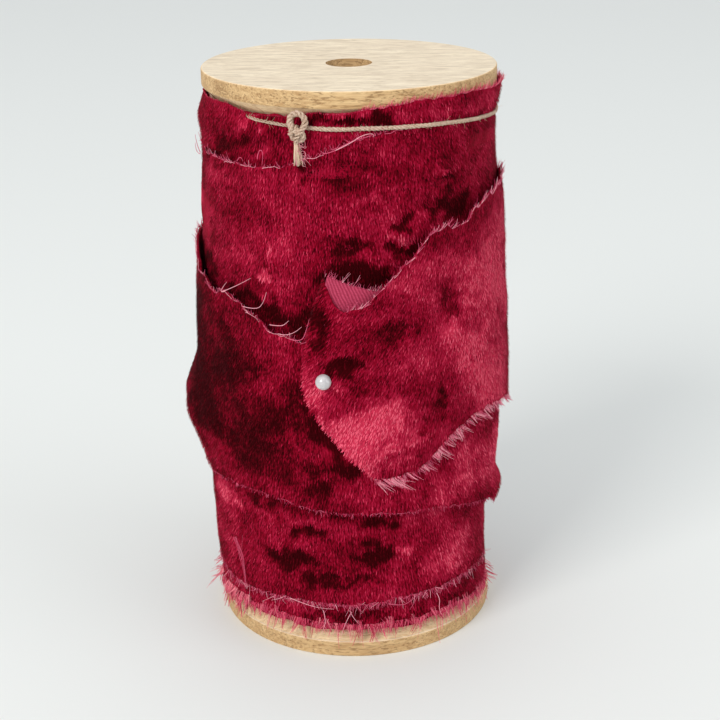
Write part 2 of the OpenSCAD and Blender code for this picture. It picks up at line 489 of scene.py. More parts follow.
def wobble(a, b, scale, seed):
    """Soft noise at a millimetres round and b up, which meets itself without a step at the back."""
    slice_at = seed * 7.31
    value = noise.noise(Vector((a / scale, b / scale, slice_at)))
    if a > seam_arc:
        share = min((a - seam_arc) / (whole_turn / 2 - seam_arc), 1.0)
        other_end = noise.noise(Vector(((a - whole_turn) / scale, b / scale, slice_at)))
        value += share * share * (3 - 2 * share) * (other_end - value)
    return value


def soft_bump(angle, height, place, shape):
    """Strength of a soft round patch at place (angle, height) with shape (half length round, half height)."""
    off = arc_of(angle - place[0])
    if abs(off) > 3 * shape[0]:
        return 0.0
    q = (off / shape[0]) ** 2 + ((height - place[1]) / shape[1]) ** 2
    return math.exp(-q) if q < 9 else 0.0


print("once round is", round(whole_turn, 1), "mm at a radius of", cloth_r, "mm")

# %% [markdown]
# A winding holds the course of one turn. It looks its rows up in a fine table, so that a point of the strip
# is placed quickly, and then adds what makes cloth look like cloth: wavy edges, a crease here and there,
# bumps and dents, and at the folded end a curl in towards the spool.

# %% Winding a ribbon
table_size = 1200


class Winding:
    """The course of one turn of ribbon: it turns a place on the flat strip into a place on the spool."""

    def __init__(self, rows, seed, dents=(), lean=None, fold_end=0.0, wave=wave_out, ragged=0.0):
        self.start, self.stop = rows[0][0], rows[-1][0]
        self.length = arc_of(abs(self.stop - self.start))
        self.seed, self.dents, self.lean, self.fold_end = seed, dents, lean, fold_end
        self.wave, self.ragged = wave, ragged
        sign = 1 if self.stop > self.start else -1
        at = sign * np.linspace(self.start, self.stop, table_size)
        self.table = smooth_rows([(sign * row[0], *row[1:]) for row in rows], at).tolist()

    def polar(self, s, t):
        """Angle, height and radius at share s of the length and share t of the width."""
        q = min(max(s, 0.0), 1.0) * (table_size - 1)
        i = min(int(q), table_size - 2)
        between = zip(self.table[i], self.table[i + 1])
        low, high, r_low, r_mid, r_high = (a + (q - i) * (b - a) for a, b in between)
        angle = self.start + s * (self.stop - self.start)
        arc = arc_of(angle)
        low += edge_wobble * (wobble(arc, 0, 9, self.seed) + 0.7 * wobble(arc, 0, 2.2, self.seed + 3))
        high += edge_wobble * (wobble(arc, 50, 9, self.seed) + 0.7 * wobble(arc, 50, 2.2, self.seed + 5))
        high += self.ragged * (wobble(arc, 70, 5.5, self.seed) + 0.8 * wobble(arc, 70, 2.3, self.seed + 6))
        height = low + t * (high - low)
        radius = r_low * (1 - t) * (1 - 2 * t) + 4 * r_mid * t * (1 - t) + r_high * t * (2 * t - 1)
        if self.lean:
            angle += self.lean(s, t)
            arc = arc_of(angle)
        crease = 1 - 2.2 * abs(wobble(arc, height, 13, self.seed + 2))
        waves = wobble(arc, height, 16, self.seed) + 0.55 * wobble(arc, height, 5.5, self.seed + 1)
        waves += 0.25 * wobble(arc, height, 2.6, self.seed + 4) + 0.25 * crease
        radius += self.wave * waves
        for place, shape, out in self.dents:
            radius += out * soft_bump(angle, height, place, shape)
        if self.fold_end:
            last = max(0.0, 1 - (1 - s) * self.length / self.fold_end)
            radius -= fold_drop * (1 - math.sqrt(max(0.0, 1 - last * last)))
        return angle, height, radius

    def point(self, s, t, lift=0.0):
        angle, height, radius = self.polar(s, t)
        return round_point(angle, height, radius + lift)


print("strips are wound on a grid of", grid_step, "mm")

# %% [markdown]
# Painting is done point by point: the painted light and shade of the nap from the noise and the patches,
# `lie` for the way the pile leans, and `tufts`, which is 0 where another turn covers the cloth, so that no
# pile is grown out of sight. A second UV map, `nap`, runs round the spool and up it, and its slant gives
# the streaks of the material the same lean as the pile.

# %% Painting the pile
painted_light_middle = 0.47
dark_shine = 0.3  # below this the pile stands up rather than hangs
nap_noises = ((0.20, 17, 1.5), (0.15, 7, 1.3), (0.12, 3, 1.0))  # strength, size, stretch along the spool
slant_level = 88.0  # millimetres up: the level at which slanting rows of tufts keep their place
rib_sway = 3.0
fold_thin, fold_thin_share = 1.6, 0.35  # the pile thins out this near the fold, down to this share
sway_size, sway_seed = 22, 40


def upright(angle, height):
    """Lean of a pile that hangs straight down, give or take a little."""
    return 0.12 * wobble(arc_of(angle), height, 20, 40)


def slanting(angle, height):
    """Lean of the pile of the last turn, which slants more and more towards the folded end."""
    ahead = -angle if angle < 0 else 0.0
    turn = min(max((ahead - 250) / 60, 0.0), 1.0)
    return upright(angle, height) + 0.5 * turn * turn * (3 - 2 * turn)


def painted_light_at(angle, height, seed, patches):
    """Painted light and shade of the nap at a place: noise in three sizes, and patches whose outlines the
    noise bends.
    """
    arc = arc_of(angle)
    value = painted_light_middle
    for number, (strength, size, stretch) in enumerate(nap_noises):
        value += strength * wobble(arc, height * stretch, size, seed + 11 + number)
    warp_round = 4 * wobble(arc, height, 6, seed + 14) + 3 * wobble(arc, height, 2.4, seed + 16)
    warp_high = 3 * wobble(arc, height, 6, seed + 15) + 2.4 * wobble(arc, height, 2.4, seed + 17)
    for place, shape, amount in patches:
        moved = (place[0] + math.degrees(warp_round / cloth_r), place[1] + warp_high)
        strength = soft_bump(angle, height, moved, shape)
        if strength > 0.02:
            strength = min(1.0, 2.3 * strength * strength)
            value += amount * strength * (1 + 0.5 * wobble(arc, height, 1.7, seed + 18))
    return min(max(value, 0.0), 1.0)


def stray_patches(seed, low, high, spans):
    """Patches of the nap's painted light and shade, at random places, for the side and the back, where none
    are listed.
    """
    draw = random.Random(seed)
    patches = []
    for first, last in spans:
        for _ in range(round((last - first) * (high - low) / 260)):
            place = (draw.uniform(first, last), draw.uniform(low, high))
            amount = draw.choice((-0.5, -0.4, -0.3, 0.25, 0.35))
            patches.append((place, (draw.uniform(3, 9), draw.uniform(2, 5)), amount))
    return patches


def closed(places):
    """The same bumps or patches, and copies of those near the back, so that no end of a strip cuts one."""
    return places + [((angle - math.copysign(360, angle), height), *rest)
                     for (angle, height), *rest in places if abs(angle) > 140]


def one_turn_back(places):
    """The same bumps or patches a full turn further along, where the strip comes to the front again."""
    return [((place[0] - 360, place[1]), *rest) for place, *rest in places]


print("nap noises of", [size for _, size, _ in nap_noises], "mm")

# %% [markdown]
# Now the strip itself: a grid, wound point by point, with its nap painted on as attributes. Solidify gives
# it the thickness of a cloth, with the woven back on the inner side. A thin sheet like this could also come
# from a cloth simulation, but a strip that is wound tight keeps the shape that its course gives it.

# %% Making a strip
cloth_thickness = 0.6


def wind_ribbon(name, winding, width, patches, slant, covered):
    """Makes a turn of ribbon.

    slant(angle, height) is the lean of its pile, and covered(angle, height) says what is out of sight.
    """
    columns, lines = round(winding.length / grid_step), round(width / grid_step)
    bm = bmesh.new()
    nap = bm.loops.layers.uv.new("nap")
    bmesh.ops.create_grid(bm, x_segments=columns, y_segments=lines, size=0.5)
    shine = bm.verts.layers.float.new("shine")
    tufts = bm.verts.layers.float.new("tufts")
    lie = bm.verts.layers.float_vector.new("lie")
    arc = bm.verts.layers.float.new("arc")
    for v in bm.verts:
        s, t = v.co.x + 0.5, v.co.y + 0.5
        angle, height, radius = winding.polar(s, t)
        v.co = round_point(angle, height, radius)
        lean = slant(angle, height)
        # paints the nap's light and shade on the cloth at this point
        v[shine] = painted_light_at(angle, height, winding.seed, patches)
        v[tufts] = 0.0 if covered(angle, height) else 1.0
        if winding.fold_end and (1 - s) * winding.length < fold_thin:
            v[tufts] *= fold_thin_share
        bent = lean * (height - slant_level) if slant is slanting else 0.0
        sway = rib_sway * wobble(arc_of(angle), height, sway_size, sway_seed)
        v[arc] = arc_of(winding.start + s * (winding.stop - winding.start)) - bent + sway
        a = math.radians(angle)
        down = -1.0 if v[shine] > dark_shine else -0.4
        v[lie] = Vector((math.cos(a) * lean * down, math.sin(a) * lean * down, down)).normalized()
    for face in bm.faces:
        for loop in face.loops:
            loop[nap].uv = (loop.vert[arc] * nap_round, loop.vert.co.z * nap_up)
    if winding.stop < winding.start:
        bmesh.ops.reverse_faces(bm, faces=bm.faces)
    piece = finish_mesh(bm, name, [velvet_face, velvet_back])
    thick = piece.modifiers.new("cloth", "SOLIDIFY")
    thick.thickness = cloth_thickness * MM
    thick.offset = -1
    thick.material_offset = 1
    print(name, "has", columns * lines, "faces")
    return piece


print("cloth", cloth_thickness, "mm thick")

# %% [markdown]
# The rows below are the ribbon's inner turns, which show above and under the last one. Each row is an
# angle, the heights of the lower and the upper edge there, and the radii at the lower edge, the middle and
# the upper edge.

# %% Courses of the inner turns
bottom_rows = [
    (-180, 7.5, 60, 37.2, 37.0, 37.0), (-90, 8.2, 60, 38.2, 38.0, 37.0), (-60, 9.7, 60, 38.4, 37.9, 37.0),
    (-40, 11.0, 60, 38.2, 37.6, 37.0), (-20, 10.6, 60, 38.0, 37.4, 37.0), (0, 10.0, 60, 37.8, 37.2, 37.0),
    (30, 9.9, 60, 37.6, 36.8, 36.6), (45, 9.6, 60, 37.4, 36.5, 36.4), (60, 8.6, 60, 37.2, 36.3, 36.2),
    (90, 6.9, 60, 37.0, 36.0, 36.0), (180, 7.5, 60, 37.2, 37.0, 37.0),
]
lower_rows = [
    (-180, 15, 72, 38.2, 38.4, 38.4), (-90, 15.2, 74, 38.7, 39.9, 39.4), (-60, 15.6, 74, 38.9, 39.4, 38.8),
    (-35, 16.4, 74, 39.0, 38.9, 38.4), (0, 17.0, 74, 38.8, 38.4, 38.4), (30, 17.8, 73, 38.3, 37.8, 38.2),
    (45, 17.4, 72, 37.8, 37.4, 38.0), (70, 16.2, 71, 36.8, 37.0, 38.0), (90, 14.4, 70, 36.3, 36.7, 38.0),
    (180, 15, 72, 38.2, 38.4, 38.4),
]
top_rows = [
    (-180, 94, 147.0, 37.0, 37.6, 37.4), (-100, 94, 147.2, 37.6, 39.0, 36.8),
    (-84, 94, 147.4, 37.6, 39.0, 37.0), (-64, 94, 147.5, 37.6, 38.8, 37.8),
    (-48, 94, 147.0, 37.6, 38.5, 37.3), (-38, 94, 146.1, 37.4, 38.3, 36.8),
    (-28, 94, 146.2, 37.2, 38.1, 36.8), (-20, 94, 146.8, 37.2, 38.0, 37.0),
    (-10, 94, 148.0, 37.2, 38.0, 38.0), (0, 94, 148.2, 37.2, 38.0, 38.4), (16, 94, 149.2, 37.1, 37.8, 38.6),
    (32, 94, 149.9, 37.0, 37.5, 38.9), (54, 94, 149.7, 36.8, 37.0, 39.2), (75, 94, 149.0, 36.6, 36.8, 39.2),
    (90, 94, 148.6, 36.6, 36.7, 39.0), (130, 94, 148.0, 37.0, 37.2, 38.4),
    (180, 94, 147.0, 37.0, 37.6, 37.4),
]
upper_rows = [
    (-180, 80, 134, 38.3, 38.4, 38.6), (-84, 79, 133.4, 38.4, 38.9, 38.6),
    (-60, 79, 133.8, 38.4, 38.7, 39.0), (-33, 79, 134.2, 38.4, 38.6, 39.2),
    (-20, 79, 135.2, 38.4, 38.6, 39.2), (-9, 80, 138.3, 38.4, 38.6, 39.0), (7, 82, 142.0, 38.4, 38.5, 38.6),
    (34, 84, 143.6, 38.2, 38.2, 38.2), (60, 84, 142.4, 38.1, 38.0, 37.4), (90, 84, 140, 38.2, 38.4, 37.3),
    (135, 82, 137, 38.2, 38.2, 38.2), (180, 80, 134, 38.3, 38.4, 38.6),
]
print("inner turns:", len((bottom_rows, lower_rows, top_rows, upper_rows)))

# %% [markdown]
# The last turn and the free end are one strip. It starts at the back, runs clockwise under its own end,
# right round the spool, and comes back to the front, where its end is turned under along a slanting fold.
# So its rows run on past -180 degrees, and the fold is a lean of the last tenth of the strip: how far to
# the side it lies at each height.

# %% Course of the last turn
outer_rows = [
    (172, 59, 112, 38.8, 39.2, 39.4), (150, 51, 106, 38.9, 39.6, 39.6), (128, 40, 97, 38.8, 39.7, 39.7),
    (108, 32.4, 92, 38.5, 39.8, 39.8), (84, 30.4, 92, 38.4, 39.9, 39.8), (72, 34.0, 92.5, 39.0, 40.0, 40.0),
    (60, 37.6, 93, 39.4, 40.0, 40.0), (42, 41.0, 92, 39.8, 40.2, 40.2), (28, 42.8, 90.5, 40.0, 40.3, 40.4),
    (15, 43.6, 90, 40.1, 40.4, 40.6), (0, 44.0, 90.5, 40.2, 40.6, 40.8), (-17, 45.2, 91, 40.4, 40.8, 41.4),
    (-26, 46.0, 92.8, 40.4, 40.9, 41.8), (-38, 47.0, 97.4, 40.5, 41.0, 42.2),
    (-52, 47.0, 99.9, 40.8, 41.4, 42.4), (-66, 46.0, 102.4, 41.2, 42.0, 42.2),
    (-84, 45.6, 107.6, 41.0, 42.2, 41.4), (-120, 50, 109.5, 41.0, 41.6, 41.0),
    (-180, 55, 116, 40.8, 41.0, 40.6), (-235, 59, 121, 41.2, 41.2, 39.8),
    (-276, 62.4, 125.0, 42.6, 41.4, 39.4), (-290, 65.8, 124.8, 42.4, 41.7, 39.8),
    (-304, 67.0, 123.2, 42.2, 41.9, 40.5), (-312, 66.4, 121.4, 42.0, 42.0, 40.9),
    (-320, 64.2, 119.2, 41.9, 42.0, 41.3), (-329, 61.2, 117.4, 41.9, 42.1, 41.8),
    (-336, 58.4, 115.0, 41.9, 42.2, 42.2), (-344, 56.4, 109.6, 41.9, 42.3, 42.6),
    (-352, 55.2, 105.0, 41.9, 42.4, 42.8), (-358, 54.6, 101.2, 42.0, 42.4, 42.8),
    (-362, 54.4, 100.0, 42.0, 42.4, 42.7), (-365.5, 54.4, 101.2, 42.0, 42.4, 42.6),
    (-370.2, 54.8, 108.6, 42.0, 42.4, 42.5),
]
# How far to the right of its top corner the folded end lies, in degrees, at shares of its height.
fold_lean = [(0.0, 15.2), (0.07, 11.2), (0.12, 7.2), (0.22, 2.0), (0.30, -2.7), (0.38, -6.2), (0.46, -8.7),
             (0.56, -8.4), (0.68, -7.2), (0.83, -4.4), (1.0, 0.0)]
fold_start = 0.90
fold_table = smooth_rows(fold_lean, np.linspace(0, 1, 101))[:, 0].tolist()


def fold_reach(t):
    """How far to the right of its top corner the fold lies at share t of the ribbon's width, in degrees."""
    return fold_table[round(min(max(t, 0), 1) * 100)]


def tail_lean(s, t):
    """Lean of the strip near its fold: none at fold_start, all of it at the end."""
    share = max(0.0, (s - fold_start) / (1 - fold_start))
    return fold_reach(t) * share * share * (3 - 2 * share)


def edge_height(rows, column, angle):
    """Height of an edge of a turn at an angle: column 0 is the lower edge and 1 the upper one."""
    keys = sorted((row[0], row[1 + column]) for row in rows)
    return float(np.interp(angle, [k for k, _ in keys], [h for _, h in keys]))


print("the last turn and the free end span", outer_rows[0][0] - outer_rows[-1][0], "degrees")

# %% [markdown]
# Crushed velvet is never smooth. Where the ribbon bulges, or a fold presses in, a soft bump moves the cloth
# out or in. Each is written as ((angle, height), (half length round, half height), amount), in degrees and
# millimetres, and a positive amount moves the cloth out.

# %% Bumps and dents
outer_dents = [
    ((-90, 59.5), (12, 9), 4.5), ((-88, 70), (10, 5), 1.4), ((-90, 65.5), (9, 3), 0.6),
    ((88, 35.4), (13, 3.4), 2.6), ((-60, 82), (7, 12), -0.8), ((-38, 70), (9, 4), 0.8),
    ((-48, 60), (10, 3), -0.7), ((-25, 60), (6, 8), 0.4),
]
tail_dents = [
    ((-1.2, 85.8), (2.8, 1.8), -1.3), ((-7, 82.2), (2, 1.6), 0.5), ((-10, 96), (1.6, 7), -1.3),
    ((-14, 92), (1.5, 9), 0.5), ((15, 94), (5, 3), -0.6), ((35, 99), (4, 6), -0.7),
    ((31, 73), (3, 6), -0.6), ((22, 68), (4, 4), -0.5), ((6, 62), (9, 6), 0.7), ((-9, 72), (4, 6), 0.6),
    ((62, 66), (8, 4), 0.8),
]
upper_dents = [
    ((37, 129), (4, 2), -0.8), ((42, 122), (6, 4), -1.1), ((30, 124), (4, 2.5), -0.8),
    ((19, 120.5), (3, 1.6), -0.7), ((34, 133), (5, 2), 0.6), ((20, 117.5), (5, 1.3), 0.6),
    ((0, 115), (7, 2.5), -0.8), ((20, 114.5), (5, 2.2), -0.8), ((-9, 134), (9, 2.5), -0.9),
    ((-34, 110), (4, 5), 0.7), ((-60, 126), (8, 5), 0.5),
]
top_dents = [
    ((-88, 141), (18, 5), 1.3), ((75, 141.5), (45, 2.6), -0.9), ((-4, 145.6), (12, 1.4), -1.2),
    ((-50, 139), (14, 1.6), -1.1), ((-42, 143), (10, 1.8), 0.7), ((-75, 143), (8, 3), 0.6),
    ((0, 142), (10, 1.5), 0.5),
]
lower_dents = [
    ((6, 30.5), (5, 4), -0.9), ((9, 39), (7, 2.5), -0.6), ((-19, 37), (7, 2), -0.6),
    ((-28, 28), (8, 2.6), -0.7), ((-7, 24), (16, 1.5), -0.5), ((19, 32), (4, 2), 0.5),
    ((-65, 42), (8, 4), 0.5),
]
print("bumps and dents:", sum(map(len, (outer_dents, tail_dents, upper_dents, top_dents, lower_dents))))

# %% [markdown]
# Patches paint light and shade on the cloth: painted shadows in hollows, in dents and under the edges of
# the turns, painted highlights along the fold, a painted sheen on the right side and painted shade on the
# left, and lighter and darker places of the nap's painted sheen. Patches are written as the bumps are, and
# a negative amount is darker. Only those in front are at measured places: the sides and the back get
# theirs by chance.

# %% Light and dark patches
# painted shade on the left side, a painted shadow along the left of the folded end, a painted sheen on the
# right side, and the nap's painted light and shade
outer_light_and_shade = [
    ((-68, 82), (18, 22), -0.16), ((-38, 64), (20, 16), -0.12), ((-72, 64), (10, 9), -0.36),
    ((-80, 85), (10, 18), -0.22), ((-48, 82), (12, 7), -0.28), ((-57, 59), (5, 3), -0.25),
    ((-28, 69), (5, 4), -0.22), ((-10, 68), (4, 6), -0.3), ((-14, 53), (4, 5), -0.3),
    ((-15.2, 70.5), (3, 3), -0.6), ((-11.6, 66.5), (3.2, 3), -0.7), ((-7, 62), (3.2, 3), -0.7),
    ((-2.6, 57.6), (3, 2.6), -0.6), ((-21, 76), (2.4, 5), -0.2), ((-40, 60), (14, 10), -0.12),
    ((-38, 77), (6, 3), 0.16), ((-28, 88), (6, 4), 0.08), ((-30, 50), (16, 4), -0.06),
    ((62, 50), (18, 9), 0.36), ((30, 48), (14, 6), 0.14), ((85, 40), (8, 6), 0.1),
    ((-62, 95), (9, 5), -0.1),
]
# painted shade in the groove left of the fold, a painted shadow beside the pin's head, painted highlights
# along the fold, painted shade in the dents and a painted sheen on the right
tail_light_and_shade = [
    ((-11.4, 97), (2.2, 7.5), -0.5), ((-12.8, 89), (1.6, 3), -0.25), ((-3.0, 85.2), (3.4, 1.8), -0.8),
    ((-17.8, 82), (1.4, 3), 0.3), ((-16.4, 76), (2, 3), 0.3), ((-12.6, 71), (2.2, 3), 0.33),
    ((-8, 67), (2.4, 3), 0.33), ((-3.4, 62.4), (2.4, 3), 0.33), ((0.6, 58.6), (2.4, 2.6), 0.33),
    ((35, 99), (3.0, 4.6), -0.42), ((15, 94), (4, 3), -0.3), ((31, 73.4), (1.6, 4), -0.36),
    ((24, 68.5), (3, 3), -0.22), ((-14, 76), (3, 5), 0.3), ((-2, 65), (5, 6), 0.32),
    ((7, 59.4), (8, 5), 0.36), ((7, 72.6), (9, 5), 0.3), ((9, 66), (13, 8), 0.28),
    ((-5, 79.6), (3, 2), 0.34), ((56, 92), (18, 20), 0.36), ((72, 108), (14, 14), 0.30),
    ((62, 70), (12, 10), 0.34), ((20, 86), (14, 6), 0.12), ((30, 106), (14, 7), 0.18),
    ((10, 100), (6, 4), 0.08), ((66, 108), (10, 9), 0.06), ((25, 62), (10, 4), 0.12),
]
# painted shade in the dents, painted shadows just above the last turn's upper edge, and painted highlights
# and shade of the nap
upper_light_and_shade = [
    ((37.3, 129), (3, 1.5), -0.7), ((43, 123.4), (4.6, 2.8), -1.0), ((36, 123), (4, 1.8), -0.6),
    ((30, 123.8), (3.4, 1.8), -0.8), ((42.8, 119.4), (2.6, 1.8), -0.6), ((19.2, 120.5), (2.4, 1.3), -0.6),
    ((0.4, 114.8), (6, 2.0), -0.55), ((19.9, 114.4), (6, 1.7), -0.55), ((-10, 134.0), (8, 2.0), -0.36),
    ((2, 135), (6, 1.8), -0.36), ((34.4, 132.6), (4, 1.4), 0.34), ((20, 117.6), (5, 1.1), 0.38),
    ((6.8, 128.4), (4, 1.2), 0.3), ((-35.8, 106.5), (1.6, 2.2), 0.6), ((-33.5, 113.2), (1.3, 1.3), 0.6),
    ((-32, 101), (4, 2), 0.25), ((-34, 124), (26, 9), 0.10), ((-30, 108), (14, 6), 0.08),
    ((10, 124), (12, 6), 0.05), ((-60, 130), (8, 2.5), 0.18), ((55, 118), (8, 6), -0.05),
    ((60, 132), (12, 6), 0.02), ((1, 108), (7, 2.6), -0.9), ((9, 106), (5, 2.6), -0.9),
    ((-41, 100.6), (6, 2.2), -0.7), ((-30, 97), (5, 2.4), -0.6), ((-20, 95), (4, 2.4), -0.6),
    ((-72, 105), (6, 3), -0.5),
]
# a painted shadow in the band just over the twine, and painted highlights and shade of the nap
top_light_and_shade = [
    ((-49.6, 139), (8, 1.6), -0.42), ((-60.2, 135.6), (5, 2), -0.42), ((0, 145.9), (12, 1.0), -0.8),
    ((-10, 148.4), (8, 1.0), 0.14), ((50, 147.4), (30, 1.8), 0.16), ((24, 141.0), (10, 0.9), -0.2),
    ((-40.4, 143.5), (4, 1.2), 0.45), ((-34.2, 137.6), (3, 1.8), 0.2), ((15.6, 142.4), (12, 1.6), 0.22),
    ((-70, 144), (8, 3), -0.02), ((70, 146), (20, 2), 0.1), ((-20, 140), (6, 2), -0.1),
]
# painted shade in the dents, a painted shadow just under the last turn's lower edge, and painted light and
# shade of the nap
lower_light_and_shade = [
    ((6, 30.3), (4.4, 3.0), -1.2), ((9.2, 39), (5.2, 1.9), -0.9), ((-40, 38), (20, 6), 0.08),
    ((30, 24), (10, 4), 0.1), ((-18.6, 36.9), (6, 1.6), -0.6), ((-27.6, 28), (6.4, 2.2), -0.75),
    ((-17, 29), (4, 1.6), -0.4), ((-7.4, 23.8), (13, 1.2), -0.42), ((-33, 43.6), (14, 1.2), -0.3),
    ((0, 42.4), (16, 1.0), -0.25), ((43, 30.6), (1.6, 1.4), -0.35), ((25, 26.6), (1.6, 1.6), -0.35),
    ((18.8, 31.7), (3, 1.4), 0.4), ((51, 24), (12, 9), 0.22), ((-61.6, 40.9), (7, 4), 0.26),
    ((-69, 43), (6, 4), 0.16), ((24, 40), (10, 2.5), 0.12), ((-45, 25), (6, 4), 0.06),
    ((-47.7, 36.5), (5, 3), -0.2), ((70, 36), (8, 8), 0.14),
]
# a painted shade band across the front of the bottom turn, and painted light and shade of the nap
bottom_light_and_shade = [((-1.5, 12.6), (14, 1.6), -0.3), ((-55, 13), (8, 2), 0.1), ((40, 13), (10, 2), -0.12)]
print("patches on the last turn:", len(outer_light_and_shade) + len(tail_light_and_shade))

# %% [markdown]
# With its course, bumps and patches, each turn can be wound. `covered` tells where another turn lies over
# it, and the pile is left out there. The last turn and the free end are wound last, over all the others.

# %% The turns
turns = {
    "bottom": (bottom_rows, 51.0, 1, [], bottom_light_and_shade, (13, 17),
               lambda a, h: h > edge_height(lower_rows, 0, a) + 3),
    "lower": (lower_rows, 55.0, 2, lower_dents, lower_light_and_shade, (20, 60),
              lambda a, h: h > edge_height(outer_rows, 0, a if a < 84 else a - 360) + 4),
    "top": (top_rows, 53.0, 3, top_dents, top_light_and_shade, (100, 145),
            lambda a, h: h < edge_height(upper_rows, 1, a) - 3),
    "upper": (upper_rows, 56.0, 4, upper_dents, upper_light_and_shade, (100, 145),
              lambda a, h: h < edge_height(outer_rows, 1, a if a < -5 else a - 360) - 4),
}
ribbons, windings = {}, {}
for key, (rows, width, seed, dents, patches, (low, high), covered) in turns.items():
    windings[key] = Winding(rows, seed, dents)
    stray = stray_patches(seed, low, high, [(-180, -85), (85, 180)])
    everywhere = closed(patches + stray)
    ribbons[key] = wind_ribbon(f"ribbon_{key}_turn", windings[key], width, everywhere, upright, covered)
    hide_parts(f"ribbon_{key}_wrap")

# %% [markdown]
# The last turn lies partly under its own end, so it covers itself. Its end has the bumps and patches of the
# free end, a full turn further along.

# %% The last turn


def under_tail(angle, height):
    """The first part of the last turn, where its own end lies over it."""
    if angle < -185:
        return False
    behind = angle - 360
    if behind < -371:
        return False
    return edge_height(outer_rows, 0, behind) + 4 < height < edge_height(outer_rows, 1, behind) - 4


all_dents = outer_dents + one_turn_back(tail_dents)
all_light_and_shade = outer_light_and_shade + one_turn_back(tail_light_and_shade) + stray_patches(5, 55, 115, [(-275, -90)])
windings["outer"] = Winding(outer_rows, 5, all_dents, tail_lean, fold_end=3.0, ragged=1.5)
ribbons["outer"] = wind_ribbon("ribbon_outer_turn_and_tail", windings["outer"], 55.0, all_light_and_shade, slanting,
                               under_tail)
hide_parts("ribbon_outer_turn", "ribbon_tail")
for piece in ribbons.values():
    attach(piece, "spool")

# %% [markdown]
# Velvet's pile is short upright tufts of cut yarn. One tuft is enough to grow it all: a small tapered blade
# that bows a little, in six copies that differ only in colour, from painted shade to painted sheen. They
# wait in a collection outside the scene.

# %% Tufts
tuft_length, tuft_width = 0.85 * MM, 0.21 * MM
tuft_bow = 0.10  # how far a tuft bows out, as a share of its length
tuft_tapers = (0.9, 1.0, 0.35)  # width at the root, the middle and the tip


def make_tufts():
    """A collection of small tapered blades, one for each colour, which isn't part of the scene."""
    shelf = bpy.data.collections.new("tufts")
    for number, material in enumerate(pile_shades):
        bm = bmesh.new()
        bmesh.ops.create_grid(bm, x_segments=1, y_segments=2, size=0.5)
        for v in bm.verts:
            share = v.co.y + 0.5
            taper = tuft_tapers[round(share * 2)]
            bow = tuft_bow * share * share
            v.co = Vector((v.co.x * tuft_width * taper, bow * tuft_length, share * tuft_length))
        mesh = bpy.data.meshes.new(f"tuft_{number}")
        bm.to_mesh(mesh)
        bm.free()
        mesh.materials.append(material)
        shelf.objects.link(bpy.data.objects.new(f"tuft_{number}", mesh))
    return shelf


tuft_shelf = make_tufts()

# %% [markdown]
# The pile is grown with geometry nodes: points are scattered on the cloth, and on each stands a tuft that
# leans the way `lie` says. The cloth's painted light and shade picks the tuft's colour, a lit or shaded
# red, with a little chance, so neighbours differ as real tufts do. A particle system could do the same,
# but nodes read the painted attributes directly.

# %% Nodes that grow the pile
tufts_per_mm2 = 5.0
tuft_stand = (0.38,) * 3  # how much of the cloth's normal goes into a tuft's direction
stray_way = 0.22
stray_shade = 0.23
shade_steps = 5.2
tuft_sizes = (0.7, 1.25)


